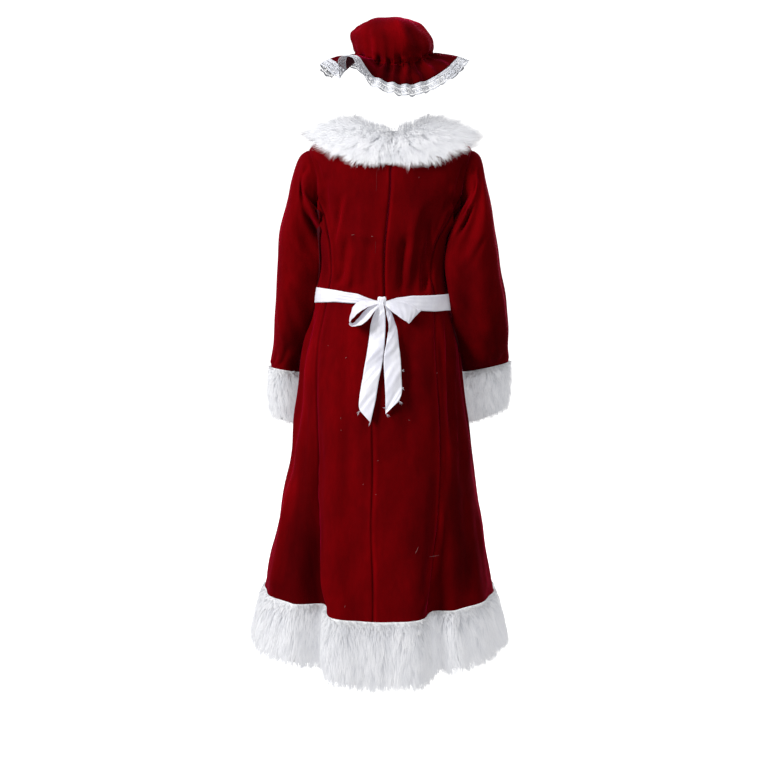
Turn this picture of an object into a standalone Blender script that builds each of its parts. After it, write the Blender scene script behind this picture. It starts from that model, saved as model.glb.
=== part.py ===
"""Christmas costume: a long velvet dress with fur collar, cuffs and hem, its ribbon sash tied in a bow at the
back, and the gathered cap with a lace edge that goes with it. Both keep the hollow form in which they are worn.

Metres, +Z up, +Y towards the wearer's front, +X towards the wearer's right. The origin is the middle of the
neck, level with the shoulder seams at the neck, where the dress hangs on its wearer. All tables are in millimetres
and degrees.
"""

import math

import bmesh
import bpy
import numpy as np

MM = 0.001

# Cloth and trimmings.
VELVET = 2.0
SATIN = 1.0
LACE = 1.0
SEAM_GAP = 0.3
LAY_GAP = 0.6
KNOT_GAP = 1.35
LACE_GAP = 0.8
COLLAR_PILE = 25.0
CUFF_PILE = 13.0
HEM_PILE = 18.0

# Where the pieces begin and end, counted in rows of the SECTIONS table.
SHOULDER_TIP, UNDERARM = 3.0, 5.0
PRINCESS_TOP = 4.4
COLLAR_EDGE = 2.5
SASH_TOP, SASH_BOTTOM = 8.0, 9.0
FUR_TOP, HEM = 15.0, 16.0
CLOTH_END = 15.25
WAIST = (SASH_TOP + SASH_BOTTOM) / 2
ARMHOLE_MIDDLE = (SHOULDER_TIP + UNDERARM) / 2
ARMHOLE_BACK, ARMHOLE_FRONT = 28.0, 28.0

# Angles run round the body from the centre back, by the wearer's right side at 90, to the centre front at 180.
SECTION_COLUMNS = (
    "half_width", "back", "front", "side_z", "back_z", "front_z", "right_drop", "bend", "centre_x", "squareness",
    "centre_seam", "seam_right", "seam_left", "seam_front",
)
SECTIONS = {
    "neckline":     (74, 70, 76, 4, -18, -70, 0, 2.0, 4, 2.00, 0, 60, 60, 52),
    "neck_slope":   (108, 90, 98, -8, -42, -94, 0, 2.0, 5, 2.10, 0, 60, 60, 52),
    "yoke":         (148, 106, 112, -24, -74, -124, 0, 2.0, 6, 2.25, 0, 60, 60, 52),
    "shoulder_tip": (190, 115, 124, -50, -110, -160, 0, 2.0, 1, 2.45, 0, 60, 60, 52),
    "armhole_mid":  (188, 122, 138, -118, -152, -194, 0, 2.0, 0, 2.50, 0, 59, 60, 54),
    "underarm":     (171, 124, 148, -208, -208, -232, 0, 2.0, -5, 2.40, 0, 55, 57, 54),
    "bust":         (158, 121, 150, -275, -275, -285, 0, 2.0, -12, 2.25, 0, 46, 52, 50),
    "ribs":         (154, 113, 132, -335, -336, -338, 6, 2.0, -14, 2.20, 0, 43, 51, 47),
    "sash_top":     (161, 108, 118, -370, -380, -378, 16, 2.0, -13, 2.15, 0, 44, 52, 46),
    "sash_bottom":  (163, 110, 120, -409, -419, -417, 16, 2.0, -14, 2.15, 0, 44, 55, 46),
    "high_hip":     (184, 138, 136, -500, -510, -508, 10, 2.0, -20, 2.10, -3, 41, 53, 46),
    "hip":          (201, 162, 152, -636, -642, -638, 4, 2.0, -21, 2.10, -5, 40, 49, 46),
    "thigh":        (219, 180, 170, -780, -786, -780, 2, 2.0, -19, 2.05, -5, 37, 46, 46),
    "knee":         (239, 196, 188, -900, -908, -902, 2, 2.4, -22, 2.00, -5, 34, 42, 46),
    "shin":         (260, 212, 206, -1008, -1020, -1010, 4, 3.0, -25, 2.00, -3, 29, 36, 44),
    "fur_top":      (276, 225, 220, -1080, -1108, -1090, 8, 3.6, -24, 2.00, -3, 24, 30, 42),
    "hem":          (299, 243, 240, -1198, -1248, -1218, 2, 3.6, -24, 2.00, -3, 20, 25, 40),
}

# The largest folds: troughs are negative and ridges positive. Each leans from its top angle to its bottom angle.
FOLD_COLUMNS = ("top_row", "full_row", "bottom_row", "top_angle", "bottom_angle", "half_width", "depth")
FOLDS = {
    "left_valley":        (9.6, 15.4, 17.0, -54, -27, 12, -60),
    "left_ridge":         (9.6, 14.5, 17.0, -38, -12, 11, 12),
    "left_side_flare":    (11.0, 15.5, 17.0, -80, -52, 15, 12),
    "right_valley":       (11.5, 15.8, 17.0, 37, 24, 10, -38),
    "right_ridge":        (12.0, 15.5, 17.0, 24, 10, 11, 8),
    "right_side_flare":   (12.0, 15.8, 17.0, 64, 48, 14, 12),
    "right_side_valley":  (11.5, 15.8, 17.0, 98, 86, 12, -14),
    "left_side_valley":   (11.5, 15.8, 17.0, -112, -98, 12, -16),
    "front_right_valley": (10.5, 15.8, 17.0, 132, 146, 12, -38),
    "front_left_valley":  (10.5, 15.8, 17.0, 228, 214, 12, -34),
    "front_ridge":        (10.5, 15.8, 17.0, 168, 178, 16, 12),
    "left_blade":         (3.6, 5.2, 7.8, -58, -38, 9, -5),
    "right_blade":        (3.6, 5.2, 7.8, 54, 34, 9, -5),
    "back_hollow_right":  (5.8, 7.2, 8.0, 27, 21, 9, -5),
    "back_hollow_left":   (5.8, 7.2, 8.0, -29, -23, 9, -4),
    "hip_hollow_right":   (9.0, 10.2, 12.5, 62, 56, 10, -6),
    "hip_hollow_left":    (9.0, 10.0, 11.8, -74, -70, 9, -6),
}

# Sleeve rings from the armhole down. Outer and inner x are counted outwards from the middle of the neck.
SLEEVE_COLUMNS = ("outer_x", "outer_z", "inner_x", "inner_z", "centre_y", "half_depth")
SLEEVES = {
    "left": {
        "head":      (212, -66, 181, -214, 1, 66),
        "cap_line":  (230, -118, 179, -230, 4, 68),
        "upper_1":   (249, -188, 176, -254, 10, 69),
        "upper_2":   (264, -250, 173, -290, 16, 68),
        "upper_3":   (272, -315, 171, -332, 22, 66),
        "elbow":     (276, -400, 181, -404, 28, 64),
        "forearm_1": (281, -475, 201, -480, 46, 61),
        "forearm_2": (287, -535, 210, -542, 68, 57),
        "cuff_top":  (290, -562, 215, -574, 78, 56),
        "cuff_mid":  (291, -626, 219, -638, 92, 54),
        "cuff_end":  (286, -684, 218, -702, 102, 52),
    },
    "right": {
        "head":      (212, -66, 169, -214, -8, 66),
        "cap_line":  (224, -118, 161, -230, -22, 66),
        "upper_1":   (237, -188, 151, -254, -34, 67),
        "upper_2":   (247, -250, 141.7, -290, -38, 67),
        "upper_3":   (257, -315, 139, -332, -37, 66),
        "elbow":     (270, -400, 150.5, -404, -26, 64),
        "forearm_1": (281, -472, 161, -480, -2, 61),
        "forearm_2": (286, -526, 169.5, -542, 28, 59),
        "cuff_top":  (287, -548, 176, -572, 50, 57),
        "cuff_mid":  (286, -608, 190, -634, 76, 55),
        "cuff_end":  (282, -662, 196, -698, 91, 53),
    },
}
CUFF_TOP, SLEEVE_END, CUFF_END = 9.0, 9.4, 11.0
SIDE_SIGN = {"left": -1.0, "right": 1.0}

# Sleeve creases: ring angle 0 is the outer side, 90 the back, 180 the side against the body, 270 the front.
CREASE_COLUMNS = ("top_ring", "bottom_ring", "top_angle", "bottom_angle", "half_width", "depth")
SLEEVE_CREASES = {
    "back_drag":     (0.6, 5.0, 40, 122, 26, -7),
    "back_drag_low": (1.4, 6.2, 80, 132, 20, -5),
    "elbow_tuck":    (4.6, 7.4, 100, 134, 26, -6),
    "front_drag":    (0.8, 5.4, 310, 238, 26, -6),
    "front_tuck":    (5.0, 8.0, 300, 244, 24, -5),
}

# The cap, from the middle of the crown to the lace's outer edge.
CAP_CENTRE_X, CAP_CENTRE_Y = 5.0, 20.0
CAP_COLUMNS = ("half_width", "half_depth", "back_z", "side_z", "front_z", "shift_x", "gather")
CAP_SECTIONS = {
    "crown_middle": (3, 3, 252, 254, 256, -9, 0.0),
    "crown_top":    (46, 52, 249, 254, 257, -8, 0.0),
    "crown_bend":   (75, 92, 230, 240, 252, -8, 0.4),
    "crown_side":   (90, 114, 200, 220, 242, -5, 1.2),
    "crown_puff":   (95, 118, 168, 198, 230, 2, 2.2),
    "crown_tuck":   (93, 113, 144, 184, 219, 3, 3.4),
    "elastic":      (90, 106, 131, 176, 213, 3, 2.6),
}
ELASTIC = 6
BRIM_WIDTH, LACE_WIDTH = 60.0, 28.0
GATHERS = 24
POINTS_PER_GATHER = 3
BRIM_RUFFLE, LACE_RUFFLE = 5.0, 6.5
BRIM_ROWS = 3
# How far the brim hangs below the level, round the cap from the centre back.
BRIM_DROOP = {
    0: 60, 20: 67, 40: 60, 60: 37, 80: 14, 100: 14, 120: 38, 140: 22, 160: 8, 180: 26, 200: 36, 220: 14,
    240: 30, 260: 32, 280: 20, 296: 24, 308: 38, 318: 9, 328: 5, 340: 44,
}

# The bow, as seen from behind: x to the wearer's right, z up, lift outwards from the skirt.
KNOT_SIZE = (24.0, 15.0, 30.0)
KNOT_PLACE = (-14.0, -406.0)
LOOP_COLUMNS = ("tucked", "reach", "fall", "droop", "forward", "spread", "roll", "width")
BOW_LOOPS = {
    "bow_loop_left":  (5.2, -64, -30, 1.1, 22, 30, 55, 36),
    "bow_loop_right": (3.9, 62, -34, 1.6, 12, 18, 0, 38),
}
TAIL_COLUMNS = ("x", "z", "lift", "width", "twist")
BOW_TAILS = {
    "bow_tail_left": (
        (-21, -422.9, 6.0, 19, 0), (-25, -445, 8.0, 30, 4), (-28, -474, 7.0, 35, 2), (-33, -510, 6.0, 38, -3),
        (-38, -550, 5.0, 39, 3), (-44, -586, 5.5, 40, 4), (-50, -624, 6.0, 37, 6), (-55, -657, 7.0, 28, 6),
    ),
    "bow_tail_right": (
        (-5, -422.4, 7.0, 10, 8), (1, -445, 10.0, 18, 22), (6, -466, 9.0, 24, 18), (5, -500, 7.0, 33, 2),
        (5, -535, 6.0, 37, -4), (6, -568, 5.5, 38, 0), (7, -602, 6.0, 36, 4), (7, -632, 7.0, 33, 6),
    ),
}
TAIL_CUT = {"bow_tail_left": (-15.0, 15.0), "bow_tail_right": (22.0, -21.0)}
TAIL_ROWS = 13

# How finely each piece is faceted.
BODY_ROWS = (
    0, 0.5, 1, 1.5, 2, 2.5, 3, 3.03, 3.12, 3.3, 3.6, 4, 4.4, 4.7, 4.88, 4.97, 5, 5.5, 6, 7, 8, 8.5, 9,
    9.5, 10, 11, 12, 13, 14, 15, CLOTH_END,
)
FUR_ROWS = (FUR_TOP, CLOTH_END, 15.5, 15.75, HEM)
SLEEVE_ROWS = (0, 0.5, 1, 1.6, 2.2, 3, 4, 5, 6, 7, 8, CUFF_TOP, SLEEVE_END)
CUFF_ROWS = (CUFF_TOP, SLEEVE_END, 10, 10.5, CUFF_END)

MATERIALS = {
    "velvet": ((0.20, 0.004, 0.012), 0.62),
    "fur":    ((0.86, 0.86, 0.86), 0.90),
    "satin":  ((0.84, 0.84, 0.88), 0.38),
    "lace":   ((0.88, 0.88, 0.90), 0.70),
}


def clear_scene():
    for obj in list(bpy.data.objects):
        bpy.data.objects.remove(obj, do_unlink=True)


def make_material(name):
    colour, roughness = MATERIALS[name]
    material = bpy.data.materials.new(name)
    material.use_nodes = True
    shader = material.node_tree.nodes["Principled BSDF"]
    shader.inputs["Base Color"].default_value = (*colour, 1.0)
    shader.inputs["Roughness"].default_value = roughness
    shader.inputs["Metallic"].default_value = 0.0
    return material


def columns_of(names, table):
    """The table's columns by name, each an array with one value for each row."""
    rows = np.array(list(table.values()) if isinstance(table, dict) else table, float)
    return {name: rows[:, i] for i, name in enumerate(names)}


def smooth_read(values, at):
    """A smooth curve through values at 0, 1, 2 and so on, read at any place between them."""
    values, at = np.asarray(values, float), np.asarray(at, float)
    last = len(values) - 1
    at = np.clip(at, 0, last)
    i = np.minimum(at.astype(int), last - 1)
    t = (at - i).reshape(at.shape + (1,) * (values.ndim - 1))
    before, here = values[np.maximum(i - 1, 0)], values[i]
    there, after = values[i + 1], values[np.minimum(i + 2, last)]
    return 0.5 * (
        2 * here
        + (there - before) * t
        + (2 * before - 5 * here + 4 * there - after) * t**2
        + (3 * here - before - 3 * there + after) * t**3
    )


def smooth_step(t):
    t = np.clip(t, 0, 1)
    return t * t * (3 - 2 * t)


def signed_power(base, exponent):
    return np.sign(base) * np.abs(base) ** exponent


def unit(vectors):
    return vectors / np.maximum(np.linalg.norm(vectors, axis=-1, keepdims=True), 1e-9)


BODY = columns_of(SECTION_COLUMNS, SECTIONS)
FOLD = columns_of(FOLD_COLUMNS, FOLDS)
CREASE = columns_of(CREASE_COLUMNS, SLEEVE_CREASES)
CAP = columns_of(CAP_COLUMNS, CAP_SECTIONS)


def fold_depth(angle, row):
    """How far the cloth stands out of (or into) the smooth form, all folds together."""
    total = np.zeros(np.broadcast(angle, row).shape)
    for i in range(len(FOLDS)):
        top, bottom = FOLD["top_row"][i], FOLD["bottom_row"][i]
        along = (row - top) / (bottom - top)
        middle = FOLD["top_angle"][i] + (FOLD["bottom_angle"][i] - FOLD["top_angle"][i]) * along
        away = (angle - middle + 180.0) % 360.0 - 180.0
        across = np.cos(np.clip(away / FOLD["half_width"][i], -1, 1) * math.pi / 2) ** 2
        grown = smooth_step((row - top) / (FOLD["full_row"][i] - top))
        ended = smooth_step((bottom - row) / max(0.15 * (bottom - top), 0.4))
        total += FOLD["depth"][i] * across * grown * ended
    return total


def dress_point(angle, row, folded=True):
    """The dress's outer surface at an angle round the body and a row of the SECTIONS table."""
    angle, row = np.broadcast_arrays(np.asarray(angle, float), np.asarray(row, float))
    part = {name: smooth_read(values, row) for name, values in BODY.items()}
    sine, cosine = np.sin(np.radians(angle)), np.cos(np.radians(angle))
    exponent = 2.0 / part["squareness"]
    depth = np.where(cosine > 0, part["back"], part["front"])
    end_z = np.where(cosine > 0, part["back_z"], part["front_z"])
    x = part["centre_x"] + part["half_width"] * signed_power(sine, exponent)
    y = -depth * signed_power(cosine, exponent)
    z = part["side_z"] + (end_z - part["side_z"]) * np.abs(cosine) ** part["bend"]
    z -= part["right_drop"] * (sine + 1) / 2
    points = np.stack([x, y, z], axis=-1)
    if folded:
        points = points + dress_outward(angle, row) * fold_depth(angle, row)[..., None]
    return points


def dress_outward(angle, row):
    """The level direction straight out of the smooth form, without its folds."""
    step = 0.5
    along = dress_point(angle + step, row, False) - dress_point(angle - step, row, False)
    out = np.stack([along[..., 1], -along[..., 0], np.zeros(along.shape[:-1])], axis=-1)
    return unit(out)


def dress_normal(angle, row):
    """The direction straight out of the cloth, folds included."""
    turn, drop = 2.0, 0.1
    around = dress_point(angle + turn, row) - dress_point(angle - turn, row)
    low, high = np.minimum(row + drop, HEM), np.maximum(row - drop, 0)
    down = dress_point(angle, low) - dress_point(angle, high)
    return unit(np.cross(down, around))


def armhole_edge(row, width):
    """Half the angle that the armhole takes up at a row."""
    height = (UNDERARM - SHOULDER_TIP) / 2
    return width * np.sqrt(np.clip(1 - ((row - ARMHOLE_MIDDLE) / height) ** 2, 0, 1))


def princess_angle(row, column, armhole_width):
    """How far a princess seam lies from the centre seam: along the armhole above its start, then down the body."""
    start = 90 - armhole_edge(PRINCESS_TOP, armhole_width)
    if row >= UNDERARM:
        return float(smooth_read(BODY[column], row))
    share = (row - PRINCESS_TOP) / (UNDERARM - PRINCESS_TOP)
    return start + (BODY[column][int(UNDERARM)] - start) * share


def panel_edge(row, column, armhole_width):
    """The outer edge of a centre panel: shoulder seam, armhole, then princess seam."""
    if row <= SHOULDER_TIP:
        return 90.0
    if row <= PRINCESS_TOP:
        return 90.0 - armhole_edge(row, armhole_width)
    return princess_angle(row, column, armhole_width)


def centre_back(row):
    return float(smooth_read(BODY["centre_seam"], row))


def side_seam(row, armhole_width):
    return 90.0 - (armhole_edge(row, armhole_width) if row < UNDERARM else 0.0)


# Each panel's two edges at a row, in the order in which the panels go round the body.
PANELS = {
    "back_right": (
        8, 0.0, centre_back, lambda r: panel_edge(r, "seam_right", ARMHOLE_BACK),
    ),
    "side_back_right": (
        6, PRINCESS_TOP, lambda r: princess_angle(r, "seam_right", ARMHOLE_BACK),
        lambda r: side_seam(r, ARMHOLE_BACK),
    ),
    "side_front_right": (
        5, PRINCESS_TOP, lambda r: 180 - side_seam(r, ARMHOLE_FRONT),
        lambda r: 180 - princess_angle(r, "seam_front", ARMHOLE_FRONT),
    ),
    "front": (
        14, 0.0, lambda r: 180 - panel_edge(r, "seam_front", ARMHOLE_FRONT),
        lambda r: 180 + panel_edge(r, "seam_front", ARMHOLE_FRONT),
    ),
    "side_front_left": (
        5, PRINCESS_TOP, lambda r: 180 + princess_angle(r, "seam_front", ARMHOLE_FRONT),
        lambda r: 180 + side_seam(r, ARMHOLE_FRONT),
    ),
    "side_back_left": (
        6, PRINCESS_TOP, lambda r: 360 - side_seam(r, ARMHOLE_BACK),
        lambda r: 360 - princess_angle(r, "seam_left", ARMHOLE_BACK),
    ),
    "back_left": (
        8, 0.0, lambda r: 360 - panel_edge(r, "seam_left", ARMHOLE_BACK),
        lambda r: 360 + centre_back(r),
    ),
}


def panel_angles(name, row):
    """A panel's columns at a row. They crowd towards the shoulders, and down the skirt towards the folds."""
    cells, _, start, end = PANELS[name]
    share = np.linspace(0, 1, cells + 1)
    if name == "front":
        share = share - 0.5 * (1 - smooth_step((row - 5) / 3)) * np.sin(2 * math.pi * share) / (2 * math.pi)
    crowd = 1 + 0.6 * smooth_step((row - 9) / 4)
    if name == "side_back_right":
        share = share**crowd
    if name == "side_back_left":
        share = 1 - (1 - share) ** crowd
    return start(row) + (end(row) - start(row)) * share


def ring_angles(row, names):
    """The angles at which a row's points lie, over several panels side by side."""
    parts = [panel_angles(name, row) for name in names]
    return np.concatenate([parts[0]] + [part[1:] for part in parts[1:]])


def drawn_in(points, amount, sides=(True, True, True, True)):
    """A grid of points with its first and last rows and columns moved inwards, which leaves the seam gap."""
    moved = points.copy()
    first_row, last_row, first_column, last_column = sides
    for wanted, edge, inside in (
        (first_column, (slice(None), 0), (slice(None), 1)),
        (last_column, (slice(None), -1), (slice(None), -2)),
        (first_row, (0,), (1,)),
        (last_row, (-1,), (-2,)),
    ):
        if wanted:
            gap = points[inside] - points[edge]
            near = np.linalg.norm(gap, axis=-1, keepdims=True)
            moved[edge] += np.where(near > 2 * amount, unit(gap) * amount, 0)
    return moved


def add_object(name, points, faces, material, parent):
    """A closed mesh from points in millimetres, with its origin at its own middle."""
    points = np.asarray(points, float) * MM
    middle = (points.min(axis=0) + points.max(axis=0)) / 2
    mesh = bpy.data.meshes.new(name)
    mesh.from_pydata([tuple(p) for p in points - middle], [], faces)
    edit = bmesh.new()
    edit.from_mesh(mesh)
    bmesh.ops.remove_doubles(edit, verts=edit.verts, dist=1e-6)
    bmesh.ops.dissolve_degenerate(edit, edges=edit.edges, dist=1e-7)
    bmesh.ops.recalc_face_normals(edit, faces=edit.faces)
    edit.to_mesh(mesh)
    edit.free()
    mesh.materials.append(bpy.data.materials[material])
    mesh.shade_smooth()
    mesh.set_sharp_from_angle(angle=math.radians(40))
    obj = bpy.data.objects.new(name, mesh)
    obj.location = tuple(middle)
    bpy.context.scene.collection.objects.link(obj)
    obj.parent = bpy.data.objects[parent]
    return obj


def thicken(name, outer, inner, faces, material, parent):
    """A closed wall between two skins that share their faces, with side walls wherever a skin ends.

    A side wall's fold runs from its higher outer corner to its lower inner corner, so two panels' walls match at
    their seam.
    """
    count = len(outer)
    used = {edge for face in faces for edge in zip(face, face[1:] + face[:1])}
    solid = list(faces) + [tuple(count + corner for corner in reversed(face)) for face in faces]
    for a, b in sorted(used):
        if (b, a) in used:
            continue
        if outer[a][2] >= outer[b][2]:
            solid += [(b, a, count + b), (a, count + a, count + b)]
        else:
            solid += [(b, a, count + a), (b, count + a, count + b)]
    return add_object(name, np.concatenate([outer, inner]), solid, material, parent)


def grid_faces(points, wrap=False):
    """Triangles of a grid of points, each cell split along its shorter diagonal."""
    rows, columns = points.shape[:2]
    faces = []
    for r in range(rows - 1):
        for c in range(columns if wrap else columns - 1):
            right = (c + 1) % columns
            here, beside = r * columns + c, r * columns + right
            below, across = here + columns, beside + columns
            falling = np.linalg.norm(points[r, c] - points[r + 1, right])
            rising = np.linalg.norm(points[r, right] - points[r + 1, c])
            if falling <= rising:
                faces += [(here, beside, across), (here, across, below)]
            else:
                faces += [(here, beside, below), (beside, across, below)]
    return faces


def wall(name, outer, inner, base, material, parent, wrap=False):
    """A cloth wall between two grids of points. Its cells are split as the base's are, so that layers match."""
    faces = grid_faces(base, wrap)
    thicken(name, outer.reshape(-1, 3), inner.reshape(-1, 3), faces, material, parent)


def skin_within(points, faces, depth):
    """The points moved to the skin's inner side, so that its facets lie the full depth below."""
    total = np.zeros_like(points)
    corners = []
    for face in faces:
        p = points[list(face)]
        normal = unit(np.cross(p[1] - p[0], p[2] - p[0]))
        corners.append(normal)
        for corner in face:
            total[corner] += normal
    total = unit(total)
    slant = np.ones(len(points))
    for face, normal in zip(faces, corners):
        for corner in face:
            slant[corner] = min(slant[corner], float(total[corner] @ normal))
    return points + total * (depth / np.maximum(slant, 0.6))[:, None]


def build_panels():
    """Each panel in two lengths, bodice and skirt, that meet at the waist under the sash."""
    for name, (_, first_row, _, _) in PANELS.items():
        for length, top, bottom in (("bodice", first_row, WAIST), ("skirt", WAIST, CLOTH_END)):
            rows = [row for row in BODY_ROWS if top <= row <= bottom]
            angles = np.array([panel_angles(name, row) for row in rows])
            row_grid = np.repeat(np.array(rows, float)[:, None], angles.shape[1], axis=1)
            base = dress_point(angles, row_grid)
            inner = base - dress_normal(angles, row_grid) * VELVET
            skirt, tip = length == "skirt", length == "bodice" and first_row > 0
            outer = drawn_in(base, SEAM_GAP / 2, (tip or skirt, not skirt, True, True))
            inner = drawn_in(inner, SEAM_GAP / 2, (tip or skirt, not skirt, True, True))
            if tip:
                for points in (outer, inner):
                    start, below = points[0].mean(axis=0), points[1].mean(axis=0)
                    points[0] = start + unit(below - start) * 3 * SEAM_GAP
            wall(f"{length}_{name}", outer, inner, base, "velvet", "dress")


def build_collar():
    """Two halves that part at the centre back and meet at the centre front. Their fur lies over the shoulders."""
    rows = [row for row in BODY_ROWS if row <= COLLAR_EDGE]
    pile = COLLAR_PILE * np.array([0.62, 0.96, 1.0, 0.92, 0.76, 0.42])
    rise = np.array([24.0, 16.0, 8.0, 2.0, 0.0, 0.0])
    spread = np.array([0.0, 0.0, 0.0, 0.0, 0.05, 0.30])
    for side, mirror in (("right", False), ("left", True)):
        back = "back_left" if mirror else "back_right"
        grid = []
        for row in rows:
            whole = panel_angles("front", row)
            middle = len(whole) // 2
            half = whole[middle:] if mirror else whole[: middle + 1]
            beside = panel_angles(back, row)
            grid.append(np.concatenate([half, beside[1:]] if mirror else [beside, half[1:]]))
        angles = np.array(grid)
        row_grid = np.repeat(np.array(rows, float)[:, None], angles.shape[1], axis=1)
        normal = dress_normal(angles, row_grid)
        from_back = np.abs((angles + 180.0) % 360.0 - 180.0)
        parted = 1 - smooth_step(from_back / 24.0)
        base = dress_point(angles, row_grid)
        inner = base + normal * LAY_GAP
        edge = dress_point(angles, row_grid + spread[:, None] * (1 - parted))
        outer = edge + normal * (LAY_GAP + pile[:, None] * (1 - 0.35 * parted))[..., None]
        outer[..., 2] += rise[:, None] * (1 - 0.75 * parted)
        for points in (outer, inner):
            points[:] = drawn_in(points, 0.5, (False, False, True, True))
        wall(f"collar_{side}", outer, inner, base, "fur", "dress")


def armhole_ring(side, ring_angle):
    """The point of the body's armhole that a sleeve's ring angle meets."""
    turn = np.radians(ring_angle)
    row = ARMHOLE_MIDDLE - np.cos(turn)
    back = np.sin(turn) >= 0
    width = np.where(back, ARMHOLE_BACK, ARMHOLE_FRONT)
    away = width * np.abs(np.sin(turn))
    angle = np.where(back, 90 - away, 90 + away)
    return dress_point(angle if side == "right" else 360 - angle, row)


def sleeve_rings(side, ring_angles_deg):
    """The sleeve's rings of points: the armhole first, then the rows of its table."""
    turn = np.radians(ring_angles_deg)
    table = columns_of(SLEEVE_COLUMNS, SLEEVES[side])
    sign = SIDE_SIGN[side]
    outer = np.stack([sign * table["outer_x"], table["centre_y"], table["outer_z"]], axis=-1)
    inner = np.stack([sign * table["inner_x"], table["centre_y"], table["inner_z"]], axis=-1)
    middle, reach = (outer + inner) / 2, (outer - inner) / 2
    rings = middle[:, None] + reach[:, None] * np.cos(turn)[None, :, None]
    rings[..., 1] -= table["half_depth"][:, None] * np.sin(turn)[None]
    return np.concatenate([armhole_ring(side, ring_angles_deg)[None], rings]), middle


def sleeve_points(side, ring_angles_deg, rows):
    """Points on the sleeve's outer surface, and the directions out of its axis."""
    rings, middles = sleeve_rings(side, ring_angles_deg)
    middles = np.concatenate([rings[:1].mean(axis=1), middles])
    rows = np.asarray(rows, float)
    points, middle = smooth_read(rings, rows), smooth_read(middles, rows)
    out = points - middle[:, None]
    along = np.gradient(middle, axis=0) if len(rows) > 2 else np.tile([0.0, 0.0, -1.0], (len(rows), 1))
    along = unit(along)[:, None]
    out = unit(out - along * (out * along).sum(axis=-1, keepdims=True))
    return points + out * crease_depth(ring_angles_deg, rows)[..., None], out


def crease_depth(ring_angles_deg, rows):
    angle, row = np.meshgrid(ring_angles_deg, rows)
    total = np.zeros(angle.shape)
    for i in range(len(SLEEVE_CREASES)):
        top, bottom = CREASE["top_ring"][i], CREASE["bottom_ring"][i]
        along = (row - top) / (bottom - top)
        middle = CREASE["top_angle"][i] + (CREASE["bottom_angle"][i] - CREASE["top_angle"][i]) * along
        away = (angle - middle + 180.0) % 360.0 - 180.0
        across = np.cos(np.clip(away / CREASE["half_width"][i], -1, 1) * math.pi / 2) ** 2
        total += CREASE["depth"][i] * across * np.sin(np.clip(along, 0, 1) * math.pi)
    return total


def sleeve_ring_angles():
    """Ring angles that meet the body's rows along the armhole, back half first."""
    rows = np.array([row for row in BODY_ROWS if SHOULDER_TIP <= row <= UNDERARM])
    back = np.degrees(np.arccos(np.clip(ARMHOLE_MIDDLE - rows, -1, 1)))
    return np.concatenate([back, 360 - back[-2:0:-1]])


def build_sleeves_and_cuffs():
    ring = sleeve_ring_angles()
    for side in SIDE_SIGN:
        base, out = sleeve_points(side, ring, SLEEVE_ROWS)
        inner = base - out * VELVET
        outer = drawn_in(base, SEAM_GAP * 1.5, (True, False, False, False))
        inner = drawn_in(inner, SEAM_GAP * 1.5, (True, False, False, False))
        wall(f"sleeve_{side}", outer, inner, base, "velvet", "dress", wrap=True)
        base, out = sleeve_points(side, ring, CUFF_ROWS)
        pile = CUFF_PILE * np.array([0.5, 0.95, 1.0, 1.0, 0.6])
        inner = base + out * LAY_GAP
        outer = base + out * (LAY_GAP + pile)[:, None, None]
        outer[-1] += unit(base[-1] - base[-2]) * 4.0
        wall(f"cuff_{side}", outer, inner, base, "fur", "dress", wrap=True)


def build_hem():
    """The fur band round the hem, in a back and a front length joined at the side seams."""
    pile = HEM_PILE * np.array([0.42, 0.86, 1.05, 0.95, 0.36])
    lengths = {
        "hem_fur_back": ("side_back_left", "back_left", "back_right", "side_back_right"),
        "hem_fur_front": ("side_front_right", "front", "side_front_left"),
    }
    for name, panels in lengths.items():
        grid = []
        for row in FUR_ROWS:
            angles = ring_angles(row, panels)
            if "back" in name:
                angles = np.where(np.arange(len(angles)) > 13, angles + 360, angles)
            grid.append(angles)
        angles = np.array(grid)
        row_grid = np.repeat(np.array(FUR_ROWS, float)[:, None], angles.shape[1], axis=1)
        base, out = dress_point(angles, row_grid), dress_outward(angles, row_grid)
        inner = base + dress_normal(angles, row_grid) * 1.3 * LAY_GAP
        outer = base + out * (1.3 * LAY_GAP + pile)[:, None, None]
        outer[-1, :, 2] -= 6.0
        for points in (outer, inner):
            points[:] = drawn_in(points, SEAM_GAP, (False, False, True, True))
        wall(name, outer, inner, base, "fur", "dress")


def build_sash():
    """The ribbon follows the panels' facets, and is drawn narrower where it runs into the knot."""
    rows = (SASH_TOP, (SASH_TOP + SASH_BOTTOM) / 2, SASH_BOTTOM)
    angles = np.array([ring_angles(row, list(PANELS))[:-1] for row in rows])
    row_grid = np.repeat(np.array(rows)[:, None], angles.shape[1], axis=1)
    base, normal = dress_point(angles, row_grid), dress_normal(angles, row_grid)
    away = np.abs((angles[1] + 180.0) % 360.0 - 180.0)
    pinch = (1 - smooth_step(away / 34.0))[:, None]
    ribbon_base = base.copy()
    for grid in (ribbon_base, normal):
        grid[0] += (grid[1] - grid[0]) * 0.72 * pinch
        grid[2] += (grid[1] - grid[2]) * 0.28 * pinch
    inner = ribbon_base + normal * LAY_GAP
    wall("sash", inner + normal * SATIN, inner, base, "satin", "sash_and_bow", wrap=True)


def back_place(x, z):
    """The angle and row of the dress's back at a place seen from behind."""
    level = BODY["back_z"] - BODY["right_drop"] / 2
    row = np.interp(-z, -level, np.arange(len(level)))
    half, middle = smooth_read(BODY["half_width"], row), smooth_read(BODY["centre_x"], row)
    square = smooth_read(BODY["squareness"], row)
    sine = signed_power(np.clip((x - middle) / half, -1, 1), square / 2)
    return np.degrees(np.arcsin(sine)), row


def knot_middle():
    """The knot's centre, clear of the sash that it lies on."""
    angle, row = back_place(np.array(KNOT_PLACE[0]), np.array(KNOT_PLACE[1]))
    surface = dress_point(angle, row)
    return surface + np.array([0.0, -(LAY_GAP + SATIN + KNOT_GAP + KNOT_SIZE[1] / 2), 0.0])


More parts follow.
